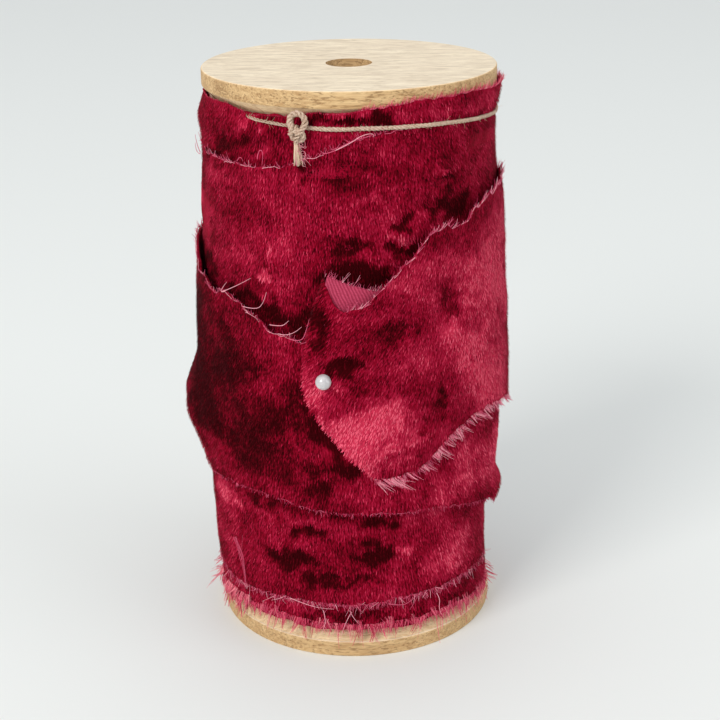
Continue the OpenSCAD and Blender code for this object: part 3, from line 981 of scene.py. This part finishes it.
def pile_nodes(shelf, seed):
    tree = bpy.data.node_groups.new("grow_pile", "GeometryNodeTree")
    tree.interface.new_socket("Geometry", in_out="INPUT", socket_type="NodeSocketGeometry")
    tree.interface.new_socket("Geometry", in_out="OUTPUT", socket_type="NodeSocketGeometry")

    def node(kind, inputs=(), **settings):
        made = tree.nodes.new(kind)
        for key, value in settings.items():
            setattr(made, key, value)
        for key, value in dict(inputs).items():
            if isinstance(value, bpy.types.NodeSocket):
                tree.links.new(value, made.inputs[key])
            else:
                made.inputs[key].default_value = value
        return made

    def named(name, kind):
        made = node("GeometryNodeInputNamedAttribute", {"Name": name}, data_type=kind)
        return next(o for o in made.outputs if o.enabled and o.name == "Attribute")

    def math_node(operation, a, b):
        return node("ShaderNodeMath", {0: a, 1: b}, operation=operation).outputs["Value"]

    def chance(low, high, number, kind="FLOAT"):
        made = node("FunctionNodeRandomValue", {"Seed": seed * 10 + number}, data_type=kind)
        for socket in made.inputs:
            if socket.enabled and socket.name in ("Min", "Max"):
                socket.default_value = low if socket.name == "Min" else high
        return next(o for o in made.outputs if o.enabled)

    start = node("NodeGroupInput")
    density = math_node("MULTIPLY", named("tufts", "FLOAT"), tufts_per_mm2 * 1e6)
    scatter = node("GeometryNodeDistributePointsOnFaces",
                   {"Mesh": start.outputs["Geometry"], "Density": density, "Seed": seed})
    rib = math_node("SINE", math_node("MULTIPLY", named("arc", "FLOAT"), 2 * math.pi / rib_pitch), 0.0)
    # the cloth's painted light and shade picks a lit or shaded tuft
    shade = math_node("ADD", named("shine", "FLOAT"), math_node("MULTIPLY", rib, rib_depth))
    shade = math_node("ADD", shade, chance(-stray_shade, stray_shade, 1))
    pick = math_node("MAXIMUM", math_node("MULTIPLY", shade, shade_steps), 0.0)
    pick = math_node("MINIMUM", pick, len(reds) - 1.0)
    way = node("ShaderNodeVectorMath", {0: scatter.outputs["Normal"], 1: tuft_stand}, operation="MULTIPLY")
    lie = named("lie", "FLOAT_VECTOR")
    way = node("ShaderNodeVectorMath", {0: way.outputs["Vector"], 1: lie}, operation="ADD")
    stray = chance((-stray_way,) * 3, (stray_way,) * 3, 2, "FLOAT_VECTOR")
    way = node("ShaderNodeVectorMath", {0: way.outputs["Vector"], 1: stray}, operation="ADD")
    turn = node("FunctionNodeAlignRotationToVector", {"Vector": way.outputs["Vector"]}, axis="Z")
    facing = {"Rotation": turn.outputs["Rotation"], "Vector": scatter.outputs["Normal"]}
    turn = node("FunctionNodeAlignRotationToVector", facing, axis="Y", pivot_axis="Z")
    kinds = {"Collection": shelf, "Separate Children": True, "Reset Children": True}
    tuft = node("GeometryNodeCollectionInfo", kinds)
    plant = node("GeometryNodeInstanceOnPoints", {
        "Points": scatter.outputs["Points"], "Instance": tuft.outputs["Instances"], "Pick Instance": True,
        "Instance Index": pick, "Rotation": turn.outputs["Rotation"], "Scale": chance(*tuft_sizes, 3)})
    real = node("GeometryNodeRealizeInstances", {"Geometry": plant.outputs["Instances"]})
    end = node("NodeGroupOutput")
    tree.links.new(real.outputs["Geometry"], end.inputs["Geometry"])
    return tree


print("pile of", tufts_per_mm2, "tufts to a square millimetre")

# %% [markdown]
# The nodes run on a copy of each strip and the result is made a mesh, so nothing is live in the end. The
# last turn is so long that its pile is grown in two pieces.

# %% Growing the pile


def grow_pile(cloth, name, shelf, seed, from_arc=-1e9, to_arc=1e9):
    """Grows the pile of a strip between two places along it, as a mesh of its own."""
    ground = bpy.data.objects.new("ground", cloth.data.copy())
    lengths, tufts = (ground.data.attributes[key].data for key in ("arc", "tufts"))
    for along, tuft in zip(lengths, tufts):
        if not from_arc <= along.value < to_arc:
            tuft.value = 0.0
    bpy.context.scene.collection.objects.link(ground)
    tree = pile_nodes(shelf, seed)
    ground.modifiers.new("pile", "NODES").node_group = tree
    grown = ground.evaluated_get(bpy.context.evaluated_depsgraph_get())
    mesh = bpy.data.meshes.new_from_object(grown)
    bpy.data.objects.remove(ground)
    bpy.data.node_groups.remove(tree)
    for attribute in [a.name for a in mesh.attributes if a.name in ("shine", "tufts", "lie", "arc", "nap")]:
        mesh.attributes.remove(mesh.attributes[attribute])
    pile = bpy.data.objects.new(name, mesh)
    bpy.context.scene.collection.objects.link(pile)
    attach(pile, "spool")
    print(name, "has", len(mesh.polygons), "faces")
    return pile


for number, (key, cloth) in enumerate(ribbons.items()):
    if key == "outer":
        half_way = arc_of(-160)
        grow_pile(cloth, "ribbon_outer_pile", tuft_shelf, 5, from_arc=half_way)
        grow_pile(cloth, "ribbon_tail_pile", tuft_shelf, 6, to_arc=half_way)
    else:
        grow_pile(cloth, cloth.name.replace("turn", "pile"), tuft_shelf, number + 1)
for blade in list(tuft_shelf.objects):
    bpy.data.objects.remove(blade)
bpy.data.collections.remove(tuft_shelf)

# %% [markdown]
# Where the end is turned under, the hem behind it peeps out at the top corner and shows the ribbon's woven
# back. It is a short strip of its own behind the end, wound with the same slanting fold, and its woven side
# faces out.

# %% Turned-under hem
hem_rows = [
    (-343, 55.5, 102.6, 40.4, 40.6, 40.2), (-353, 55.2, 104.4, 40.4, 40.8, 41.0),
    (-361, 55.0, 106.2, 40.4, 40.8, 41.3), (-369.2, 55.2, 108.4, 40.4, 40.8, 41.6),
]
hem_share, hem_back = 0.8, 0.8


def hem_lean(s, t):
    """The hem leans as the fold does, but less, so that it stays behind it."""
    return hem_share * fold_reach(t) + hem_back


windings["hem"] = Winding(hem_rows, 6, (), hem_lean, 0.0, wave=0.2)
hem = wind_ribbon("ribbon_turned_hem", windings["hem"], 52.0, [], slanting, lambda a, h: True)
hem.data.materials[0], hem.data.materials[1] = velvet_back, velvet_face
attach(hem, "spool")

# %% [markdown]
# A torn edge is never clean: the crosswise threads come loose and hang out as a fringe, thick at the foot
# and thin elsewhere, and a few long ones curl free. Each thread is one spline of a curve object with a
# round section, thinner towards its tip, and all the threads of an edge are made one mesh.

# %% A piece made of threads


def thread_piece(name, threads, finishes, thickness):
    """One mesh of many threads. Each is (points in metres, finish number, thickness factor)."""
    curve = bpy.data.curves.new(name, "CURVE")
    curve.dimensions = "3D"
    curve.bevel_depth = thickness * 0.5 * MM
    curve.bevel_resolution = 0
    curve.resolution_u = 3
    for finish in finishes:
        curve.materials.append(finish)
    for points, finish, factor in threads:
        smooth = len(points) > 4 or thickness >= 0.2
        spline = curve.splines.new("NURBS" if smooth else "POLY")
        spline.points.add(len(points) - 1)
        for number, (place, point) in enumerate(zip(points, spline.points)):
            point.co = (*place, 1)
            point.radius = factor * (1 - 0.55 * (number / (len(points) - 1)) ** 2)
        if smooth:
            spline.order_u = 3
            spline.use_endpoint_u = True
        spline.material_index = finish
    drawn = bpy.data.objects.new(name + "_line", curve)
    bpy.context.scene.collection.objects.link(drawn)
    mesh = bpy.data.meshes.new_from_object(drawn.evaluated_get(bpy.context.evaluated_depsgraph_get()))
    mesh.name = name
    bpy.data.objects.remove(drawn)
    bpy.data.curves.remove(curve)
    piece = bpy.data.objects.new(name, mesh)
    bpy.context.scene.collection.objects.link(piece)
    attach(piece, "spool")
    print(name, "has", len(threads), "threads and", len(mesh.polygons), "faces")
    return piece


print("threads are curves with a round section")

# %% [markdown]
# Three ways to fray an edge: single threads that stand out of it, long ones that lie along it, and bunches
# that hang together, as torn threads do. Each thread starts on the edge itself, at a place that its winding
# gives, and then goes a little round, up and out.

# %% Fraying an edge
above_floor = 0.5  # no thread of a bunch hangs lower than this, in millimetres


def edge_threads(winding, span, t, per_mm, length, way, spread, draw, lift=0.1, curl=0.5, mix=(0, 0, 1, 2)):
    """Threads from an edge at share t of the width. way and spread are (round, up, out) for a length of 1."""
    threads = []
    first, last = span
    for _ in range(round(arc_of(abs(last - first)) * per_mm)):
        s = (draw.uniform(first, last) - winding.start) / (winding.stop - winding.start)
        angle, height, radius = winding.polar(s, t)
        reach = length[0] + (length[1] - length[0]) * draw.random() ** 2
        aim = [w + draw.uniform(-p, p) for w, p in zip(way, spread)]
        bend = [draw.uniform(-curl, curl) for _ in range(3)]
        points = []
        for share in (0.0, 0.3, 0.65, 1.0):
            go = [reach * (share * a + 0.5 * share * share * b) for a, b in zip(aim, bend)]
            points.append(round_point(angle + math.degrees(go[0] / radius), height + go[1],
                                      radius + lift + max(go[2], -0.6)))
        threads.append((points, draw.choice(mix), draw.uniform(0.7, 1.2)))
    return threads


def edge_line(winding, span, t, step, off, draw, lift=0.15, mix=(0, 1)):
    """Long threads that lie along an edge, broken here and there."""
    threads, angle = [], span[0]
    while angle < span[1]:
        count = draw.randint(4, 9)
        points = []
        for _ in range(count):
            s = (angle - winding.start) / (winding.stop - winding.start)
            where = winding.polar(s, t)
            height = where[1] + draw.uniform(-off, off)
            points.append(round_point(where[0], height, where[2] + lift + draw.uniform(0, 0.3)))
            angle += step
        threads.append((points, draw.choice(mix), draw.uniform(0.7, 1.1)))
        angle += step * draw.uniform(0.5, 3)
    return threads


def clumps(winding, span, t, per_mm, each, length, way, spread, draw, lift=0.1, mix=(0, 0, 0, 1, 2)):
    """Threads along an edge that hang together in small bunches, their tips closer than their roots."""
    threads = []
    first, last = span
    for _ in range(round(arc_of(abs(last - first)) * per_mm)):
        centre = draw.uniform(first, last)
        reach = length[0] + (length[1] - length[0]) * draw.random() ** 1.6
        aim = [w + draw.uniform(-p, p) for w, p in zip(way, spread)]
        bend = [draw.uniform(-0.5, 0.5), draw.uniform(-0.2, 0.3), draw.uniform(-0.1, 0.25)]
        for _ in range(draw.randint(*each)):
            apart = draw.gauss(0, 0.6)
            s = (centre + math.degrees(apart / cloth_r) - winding.start) / (winding.stop - winding.start)
            angle, height, radius = winding.polar(s, t)
            own = reach * draw.uniform(0.6, 1.05)
            points = []
            for share in (0.0, 0.35, 0.7, 1.0):
                go = [own * (share * a + 0.5 * share * share * b) for a, b in zip(aim, bend)]
                inward = -0.5 * apart * share + draw.uniform(-0.12, 0.12)
                turned = angle + math.degrees((go[0] + inward) / radius)
                out = lift + go[2] + draw.uniform(-0.05, 0.05)
                points.append(round_point(turned, max(height + go[1], above_floor), radius + out))
            threads.append((points, draw.choice(mix), draw.uniform(0.7, 1.15)))
    return threads


print("three ways to fray an edge")

# %% [markdown]
# The foot of the ribbon was torn hardest: a dense skirt of threads hangs over the bottom flange's rim, in
# bunches with a few that are much longer. At the neck, under the top flange, there is only a short fuzz.

# %% Fringe at the foot
all_round = (-180, 180)
draw = random.Random(11)
foot = edge_threads(windings["bottom"], all_round, 0.0, 9.0, (1.1, 3.0), (0.0, -1.0, 0.08),
                    (0.4, 0.15, 0.14), draw, mix=(0, 0, 0, 2))
foot += edge_threads(windings["bottom"], all_round, 0.0, 2.6, (2.3, 5.0), (0.0, -1.0, 0.14),
                     (0.45, 0.15, 0.14), draw, mix=(0, 0, 1))
foot += clumps(windings["bottom"], all_round, 0.0, 0.55, (4, 9), (3.2, 6.6), (0.0, -1.0, 0.14),
               (0.4, 0.15, 0.1), draw)
foot += clumps(windings["bottom"], all_round, 0.025, 0.3, (4, 8), (3.0, 5.4), (0.0, -0.95, 0.22),
               (0.4, 0.15, 0.12), draw)
foot += clumps(windings["bottom"], all_round, 0.0, 0.05, (2, 4), (7.5, 9.5), (0.0, -1.0, 0.12),
               (0.25, 0.1, 0.05), draw, mix=(0, 1, 1))
foot += clumps(windings["bottom"], (-84, -46), 0.03, 1.0, (4, 9), (2.6, 4.8), (0.05, -0.8, 0.4),
               (0.5, 0.25, 0.15), draw, mix=(0, 1, 1))
for side in (-90, 90):
    foot += clumps(windings["bottom"], (side - 14, side + 14), 0.02, 0.5, (3, 6), (3.0, 5.5),
                   (0.0, -0.45, 0.8), (0.4, 0.4, 0.2), draw, mix=(0, 0, 1))
foot_fringe = thread_piece("foot_fringe", foot, foot_finishes, 0.14)

# %% Fuzz at the neck
neck = edge_threads(windings["top"], (4, 130), 1.0, 10.0, (0.5, 2.2), (0.3, 0.75, 0.22), (0.4, 0.3, 0.2),
                    draw, lift=0.0, mix=(0, 0, 2, 1))
neck += edge_threads(windings["top"], (-180, 4), 1.0, 5.0, (0.4, 1.0), (0.1, 0.6, 0.1), (0.5, 0.3, 0.2),
                     draw, lift=0.0, mix=(2, 2, 0))
neck += edge_threads(windings["top"], (130, 180), 1.0, 4.0, (0.5, 1.6), (0.1, 0.7, 0.2), (0.5, 0.3, 0.2),
                     draw, lift=0.0, mix=(2, 2, 0))
neck_fuzz = thread_piece("neck_fuzz", neck, foot_finishes, 0.12)

# %% [markdown]
# The edges of the turns are frayed more lightly. A few threads lie along each edge, and the lower edge of
# the free end has the finest fringe, which hangs down to the right.

# %% Edge of the lower turn
low = edge_threads(windings["lower"], all_round, 0.0, 7.0, (0.6, 2.2), (0.0, -0.9, 0.15), (0.6, 0.3, 0.2),
                   draw, mix=(0, 0, 2))
low += edge_threads(windings["lower"], all_round, 0.0, 0.9, (1.6, 3.4), (0.0, -0.8, 0.2), (0.8, 0.4, 0.2),
                    draw, mix=(0, 1))
low += edge_threads(windings["lower"], (-60, 60), 0.0, 0.5, (2.0, 4.6), (0.0, -0.3, 0.25), (1.0, 0.4, 0.2),
                    draw, mix=(0, 1))
low += edge_line(windings["lower"], all_round, 0.0, 1.3, 0.6, draw, mix=(0, 2))
lower_fringe = thread_piece("lower_turn_fringe", low, thread_finishes, 0.13)

# %% Edge of the upper turn
up = edge_threads(windings["upper"], all_round, 1.0, 3.0, (0.4, 1.6), (0.0, 0.8, 0.25), (0.8, 0.3, 0.25),
                  draw, mix=(0, 2))
up += edge_threads(windings["upper"], (-100, 30), 1.0, 0.9, (0.8, 2.6), (0.0, 0.8, 0.25), (0.8, 0.3, 0.25),
                   draw)
up += edge_line(windings["upper"], (-100, 20), 1.0, 1.2, 0.4, draw)
upper_fringe = thread_piece("upper_turn_fringe", up, thread_finishes, 0.14)

# %% Edges of the last turn
outer = edge_threads(windings["outer"], (-105, 140), 0.0, 3.0, (0.4, 1.3), (0.0, -0.9, 0.2),
                     (0.6, 0.3, 0.2), draw, mix=(0, 2))
outer += edge_line(windings["outer"], (-105, 140), 0.0, 1.2, 0.3, draw, mix=(0, 2, 2))
outer += edge_threads(windings["outer"], (-200, -18), 1.0, 3.5, (0.5, 1.8), (0.0, 0.8, 0.2),
                      (0.8, 0.3, 0.3), draw)
outer += edge_line(windings["outer"], (-110, -18), 1.0, 1.2, 0.35, draw)
outer += edge_threads(windings["outer"], (-362, -200), 1.0, 6.5, (0.6, 2.4), (0.35, 0.8, 0.15),
                      (0.5, 0.25, 0.25), draw, mix=(0, 0, 2, 1))
outer_fringe = thread_piece("outer_turn_fringe", outer, thread_finishes, 0.14)

# %% Edge of the free end
tail = clumps(windings["outer"], (-370.2, -105), 0.0, 0.75, (4, 9), (3.0, 6.2), (0.65, -0.65, 0.12),
              (0.3, 0.2, 0.08), draw, mix=(0, 0, 1, 1))
tail += clumps(windings["outer"], (-370.2, -359), 0.0, 1.6, (5, 8), (4.2, 6.8), (0.75, -0.6, 0.10),
               (0.15, 0.12, 0.06), draw, mix=(0, 1, 1))
tail += edge_threads(windings["outer"], (-370.2, -105), 0.0, 4.0, (0.8, 2.2), (0.4, -0.9, 0.1),
                     (0.4, 0.2, 0.1), draw, mix=(0, 0, 2))
tail += edge_threads(windings["hem"], (-370, -348), 1.0, 4.0, (0.7, 2.4), (0.3, 0.9, 0.1), (0.6, 0.3, 0.15),
                     draw)
tail_fringe = thread_piece("tail_fringe", tail, thread_finishes, 0.11)

# %% [markdown]
# A few long threads have come right out of the edges and curl over the turns. They catch the eye, so each
# has a measured course, except for a thin wisp of twelve at the lower left that is drawn by chance round
# one course.

# %% Long loose threads
# Each course is (radius, finish, [(angle, height), ...]), in degrees and millimetres.
long_courses = [
    (42.6, 1, [(-51, 100.4), (-43, 103.2), (-36, 106.4)]),
    (42.6, 1, [(-51.3, 100.7), (-49.9, 102.0), (-47.8, 103.6)]),
    (42.6, 1, [(-40, 98.4), (-35, 98.3), (-31.3, 99.9), (-29.8, 103.5)]),
    (42.6, 1, [(-29, 95.1), (-25.5, 95.1), (-23.1, 95.7), (-21.8, 96.9)]),
    (42.9, 1, [(-25.5, 93.2), (-21.4, 92.5), (-17.1, 95.7)]),
    (43.2, 0, [(-21.3, 92.3), (-17.1, 91.7), (-15.4, 94.9), (-14.3, 97.9)]),
    (39.7, 0, [(-9.5, 138.4), (-6.0, 138.9), (-1.8, 140.7), (1.7, 141.9), (6.9, 142.6)]),
    (39.9, 1, [(-5, 139.4), (0, 141.0), (4, 143.0), (8.5, 143.4), (8, 142.4)]),
    (39.9, 0, [(-34.2, 136.0), (-33.6, 138.2), (-31.9, 138.4), (-31.7, 136.5), (-32.3, 134.6)]),
    (39.8, 0, [(-44, 134.6), (-42, 136.6), (-41, 134.8)]),
    (40.2, 0, [(-71, 133.2), (-79, 134.0), (-86, 135.5)]),
    (40.4, 0, [(-70, 133.0), (-80, 131.5), (-88, 133.0)]),
    (38.9, 1, [(-13.4, 14.3), (-12.6, 11.4), (-13.2, 9.4), (-14.4, 7.2)]),
    (39.0, 1, [(-2.2, 14.4), (-4.6, 11.6), (-6.6, 7.0)]),
    (39.0, 1, [(-3, 14.8), (-1.9, 12.6), (0.2, 11.0)]),
    (39.6, 1, [(-27, 16.8), (-21, 15.9), (-14, 15.2), (-9, 15.4)]),
    (39.4, 0, [(12, 16.4), (17, 15.2), (21, 15.8), (24, 17.6)]),
    (39.2, 1, [(33, 16.2), (35, 14.0), (34, 11.2), (35.5, 9.0)]),
]
loose = [([round_point(angle, height, radius) for angle, height in course], finish, 1.0)
         for radius, finish, course in long_courses]
wisp_r = 40.0
wisp_course = ((-55, 29.0, 2.6), (-51.8, 24.8, 1.4), (-49.5, 20.4, 0.6), (-48.9, 15.6, 0.3))
for _ in range(12):
    stray = [draw.gauss(0, 1) for _ in wisp_course]
    thin = draw.uniform(0.22, 0.4)
    wisp = [round_point(angle + wide * off, height + off, wisp_r + 0.3 * abs(off))
            for (angle, height, wide), off in zip(wisp_course, stray)]
    loose.append((wisp, 0, thin))
loose_threads = thread_piece("loose_threads", loose, thread_finishes, 0.2)

# %% [markdown]
# Twine is spun from dull, uneven fibres, so its colour changes along and across it. It has hardly any
# gloss. The hairs that stand off it are paler and darker fibres of the same kind, with a few that it picked
# up from the ribbon.

# %% Twine finish
twine_colours = [(0.33, 0.205, 0.135), (0.53, 0.38, 0.285), (0.72, 0.585, 0.46)]
twine_blotch = (0.62, 0.44, 0.36)


def make_twine_finish():
    twine = Finish("twine")
    fibre = twine.noise(twine.coordinates("Object", (2600, 2600, 2600)), detail=3.0)
    blotch = twine.noise(twine.coordinates("Object", (500, 500, 500)), detail=1.0)
    colour = twine.ramp(fibre, list(zip((0.3, 0.52, 0.72), twine_colours)))
    twine.colour(twine.mix(twine.range(blotch, 0.4, 0.7, 0.0, 0.45), colour, twine_blotch))
    twine.bump(fibre, 0.5, 0.0002)
    twine.constant(Roughness=0.85, Specular_IOR_Level=0.15)
    return twine.material


twine_finish = make_twine_finish()
hair_finishes = [
    make_thread("twine_hair", (0.50, 0.35, 0.23)), make_thread("twine_hair_pale", (0.70, 0.56, 0.40)),
    make_thread("twine_hair_pink", (0.72, 0.30, 0.34)),
]


print("twine and", len(hair_finishes), "hair colours")

# %% [markdown]
# The twine goes once round the neck of the spool, on the top turn. Its course dips and sags a little with
# the cloth under it, and at the left it is pulled in so deep that the cloth has closed over it. Its radius
# is read from the winding of that turn, so everywhere else it lies on it.

# %% Course of the twine
twine_step = 0.35
knot_angle = -18.5
knot_level = 144.5
neck_level, neck_tilt = 144.9, 1.8
twine_hidden, twine_sunk = (-135, -34), 2.6  # degrees where the cloth covers it, and how deep it lies


def ring_height(angle):
    turned = (angle + 180) % 360 - 180
    dip = 1.7 * math.exp(-((turned - 92) / 36) ** 2)
    sag = 1.2 * math.exp(-((turned + 22) / 30) ** 2)
    return neck_level - neck_tilt * math.sin(math.radians(turned)) - sag - dip


def ring_radius(angle):
    turned = (angle + 180) % 360 - 180
    first, last = twine_hidden
    under = min(max((last - turned) / 20, 0.0), 1.0) * min(max((turned - first) / 20, 0.0), 1.0)
    sunk = twine_sunk * under * under * (3 - 2 * under)
    s = (turned + 180) / 360
    low, high = edge_height(top_rows, 0, turned), edge_height(top_rows, 1, turned)
    cloth = windings["top"].polar(s, (ring_height(turned) - low) / (high - low))[2]
    return cloth + 0.55 - sunk


def smooth_course(points, step):
    """Points a step apart on a smooth curve through the given ones, in metres."""
    points = [Vector(p) for p in points]
    reach = [0.0]
    for a, b in zip(points, points[1:]):
        reach.append(reach[-1] + (b - a).length)
    at = np.linspace(0, reach[-1], max(8, round(reach[-1] / step)))
    return [Vector(row) for row in smooth_rows([(d, *p) for d, p in zip(reach, points)], at)]


ring_angles = np.linspace(knot_angle + 0.5, knot_angle + 359.5, 240)
ring_course = [round_point(a, ring_height(a), ring_radius(a)) for a in ring_angles]
twine_course = smooth_course(ring_course, twine_step * MM)

# %% [markdown]
# The twine is three plies twisted together. Each ply is a spline that winds round the twine's own course,
# so the twist is real geometry and catches the light as it should. A screw modifier on a straight piece
# could make the same twist, but not along a course with a knot in it.

# %% Plies and hairs
ply_r, ply_off, twist = 0.33, 0.27, 3.4


def twist_plies(course, plies=3, bulk=1.0):
    """The plies' splines round a course, carried along it without any turning of their own."""
    tangents = [(b - a).normalized() for a, b in zip(course, course[1:])]
    tangents.append(tangents[-1])
    side = tangents[0].orthogonal().normalized()
    lines = [[] for _ in range(plies)]
    gone = 0.0
    for number, (place, ahead) in enumerate(zip(course, tangents)):
        side = (side - ahead * side.dot(ahead)).normalized()
        other = ahead.cross(side)
        if number:
            gone += (place - course[number - 1]).length / MM
        for ply, line in enumerate(lines):
            a = 2 * math.pi * (gone / twist + ply / plies)
            line.append(place + (side * math.cos(a) + other * math.sin(a)) * bulk * ply_off * MM)
    return [(line, 0, bulk) for line in lines]


def hairs(course, per_mm, length, draw):
    """Short hairs that stand off a course, leaning along it."""
    made = []
    for _ in range(round(len(course) * twine_step * per_mm)):
        at = draw.randrange(len(course) - 2)
        away = Vector((draw.gauss(0, 1), draw.gauss(0, 1), draw.gauss(0, 1))).normalized()
        along = (course[at + 1] - course[at]).normalized() * draw.uniform(0.3, 1.0)
        reach = draw.uniform(*length) * MM
        aim = (away * 0.6 + along).normalized()
        bend = Vector((draw.uniform(-1, 1), draw.uniform(-1, 1), draw.uniform(-1, 1))) * 0.4
        root = course[at] + away * 0.35 * MM
        points = [root + reach * (q * aim + q * q * bend) for q in (0, 0.5, 1)]
        made.append((points, draw.choice((0, 0, 1)), 1.0))
    return made


def twine_piece(name, splines):
    """Plies made into one piece of twine."""
    piece = thread_piece(name, splines, [twine_finish], 2 * ply_r)
    return piece


twine = twine_piece("twine", twist_plies(twine_course))

# %% [markdown]
# In front the twine is held by a knot, with one small bow above it. Knot and bow are one course through
# places that were set one by one, as millimetres to the right, up and out. The twine is thicker there,
# since it is pulled into a lump.

# %% Knot and bow
knot_places = [(-1.0, 0.1, 0.2), (0.1, -0.7, 1.5), (1.1, -1.6, 1.0), (0.5, -2.8, 0.4), (-0.9, -2.7, 0.3),
               (-1.5, -1.5, 1.0), (-1.0, -0.2, 1.7), (-1.7, 1.2, 1.0), (-1.7, 2.4, 0.9), (-0.8, 3.3, 0.9),
               (0.5, 3.4, 0.9), (1.5, 2.6, 0.9), (1.8, 1.2, 1.0), (1.3, -0.1, 1.5), (0.5, -1.3, 2.0),
               (-0.2, -2.4, 1.6), (-0.4, -3.6, 0.9)]


def knot_point(right, up, out):
    """A point of the knot: millimetres to the right, up and out from where the twine crosses itself."""
    return round_point(knot_angle + math.degrees(right / 39.0), knot_level + up, 38.5 + out)


bow_points = [knot_point(1.03 * right + 0.3, up, out + 0.4) for right, up, out in knot_places]
bow_course = smooth_course(bow_points, 0.3 * MM)
knot = twine_piece("twine_knot_and_bow", twist_plies(bow_course, bulk=1.65))

draw = random.Random(23)
fuzz = hairs(twine_course, 1.6, (0.4, 1.5), draw) + hairs(bow_course, 4.0, (0.4, 1.3), draw)
twine_fuzz = thread_piece("twine_fuzz", fuzz, hair_finishes, 0.07)


# %% [markdown]
# Below the knot the twine ends in a brush of loose fibres, with a few of the ribbon's own threads caught in
# it.

# %% Frayed end


def frayed_end(draw):
    made = []
    for _ in range(90):
        a, spread = draw.uniform(0, 2 * math.pi), math.sqrt(draw.random())
        right, out = math.cos(a) * spread, math.sin(a) * spread
        long = draw.uniform(4.9, 6.9)
        points = []
        for q in (0.0, 0.25, 0.5, 0.75, 1.0):
            wide = 0.55 + 0.75 * q * q
            aside = -0.35 + 0.35 * q + right * wide + draw.uniform(-0.08, 0.08)
            points.append(knot_point(aside, -2.6 - long * q, 0.75 - 0.25 * q + out * 0.5 * wide))
        made.append((points, draw.choice((0, 1, 1, 1, 2)), draw.uniform(0.8, 1.5)))
    for _ in range(14):
        start = draw.uniform(-7.5, -2.5)
        points, right, up = [], draw.uniform(-0.3, 0.8), start
        for q in range(5):
            points.append(knot_point(right, up, 0.9 + 0.2 * q * draw.random()))
            right += draw.uniform(-0.3, 1.1)
            up += draw.uniform(-1.3, 0.9)
        made.append((points, 2, 0.8))
    return made


frayed = thread_piece("twine_frayed_end", frayed_end(draw), hair_finishes, 0.16)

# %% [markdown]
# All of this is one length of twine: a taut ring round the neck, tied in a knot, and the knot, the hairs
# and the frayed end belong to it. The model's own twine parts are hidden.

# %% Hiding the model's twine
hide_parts("twine_loop")
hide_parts("twine_knot")
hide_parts("twine_tail")

# %% [markdown]
# The pin's head is a pearl bead: a round bead with a slightly flattened foot where the shaft goes in,
# lacquered, so a clear coat lies over a soft, milky white.

# %% Pearl
head_low, head_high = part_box("pin_head")
head_centre = (head_low + head_high) / 2
head_r = (head_high.z - head_low.z) / 2
pin_axis = Vector(next(j for j in frame["joints"] if j["name"] == "pin_slide")["axis"]).normalized()


def make_pearl():
    pearl = Finish("pearl")
    cloud = pearl.noise(pearl.coordinates("Object", (700, 700, 700)), detail=2.0)
    pearl.colour(pearl.mix(pearl.range(cloud, 0.35, 0.65), (0.45, 0.43, 0.44), (0.57, 0.545, 0.55)))
    pearl.constant(Roughness=0.32, Coat_Weight=1.0, Coat_Roughness=0.06, Sheen_Weight=0.2)
    bm = bmesh.new()
    bmesh.ops.create_uvsphere(bm, u_segments=40, v_segments=24, radius=head_r)
    turn = pin_axis.to_track_quat("Z", "Y").to_matrix().to_4x4()
    for v in bm.verts:
        if v.co.z < -0.9 * head_r:
            v.co.z = -0.9 * head_r - 0.3 * (abs(v.co.z) - 0.9 * head_r)
    bmesh.ops.transform(bm, verts=bm.verts, matrix=Matrix.Translation(head_centre) @ turn)
    return finish_mesh(bm, "pin_pearl", [pearl.material])


pearl_head = make_pearl()
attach(pearl_head, "pin")
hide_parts("pin_head")
print("pearl", round(2 * head_r / MM, 2), "mm across")

# %% [markdown]
# The shaft is the CAD model's own, and only gets its steel: a bright metal with faint marks of drawing and
# polishing.

# %% Steel shaft


def make_steel():
    steel = Finish("pin_steel")
    fine = steel.noise(steel.coordinates("Object", (900, 900, 4000)), detail=2.0)
    steel.colour(steel.mix(fine, (0.55, 0.55, 0.56), (0.72, 0.72, 0.73)))
    steel.link(steel.range(fine, 0.3, 0.7, 0.18, 0.32), steel.shader.inputs["Roughness"])
    steel.constant(Metallic=1.0)
    return steel.material


NODES["pin_shaft"].data.materials.clear()
NODES["pin_shaft"].data.materials.append(make_steel())
print("steel on pin_shaft")

# %% [markdown]
# Under the turns that show is the rest of the ribbon, a tight roll, and a little of it is seen where the
# turns part and under the top flange. It is one sleeve, wound like the others, from one flange's slope to
# the other's.

# %% Hidden roll
roll_low, roll_high = (corner.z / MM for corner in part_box("ribbon_windings"))
roll_rows = [(angle, roll_low, roll_high, 35.9, 36.2, 36.2) for angle in (-180, -60, 60, 180)]
windings["roll"] = Winding(roll_rows, 8, (), wave=0.2)
roll_width = roll_high - roll_low
roll = wind_ribbon("ribbon_inner_roll", windings["roll"], roll_width, [], upright, lambda a, h: True)
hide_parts("ribbon_windings")
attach(roll, "spool")
print("roll from", round(roll_low, 1), "to", round(roll_high, 1), "mm")

# %% [markdown]
# Each turn of ribbon rests on the roll under it. A ribbon is stretched on its spool, and its pile and its
# fringes are part of it. The roll itself rests on the wooden barrel.

print("sheets:", len(ribbons) + 1)
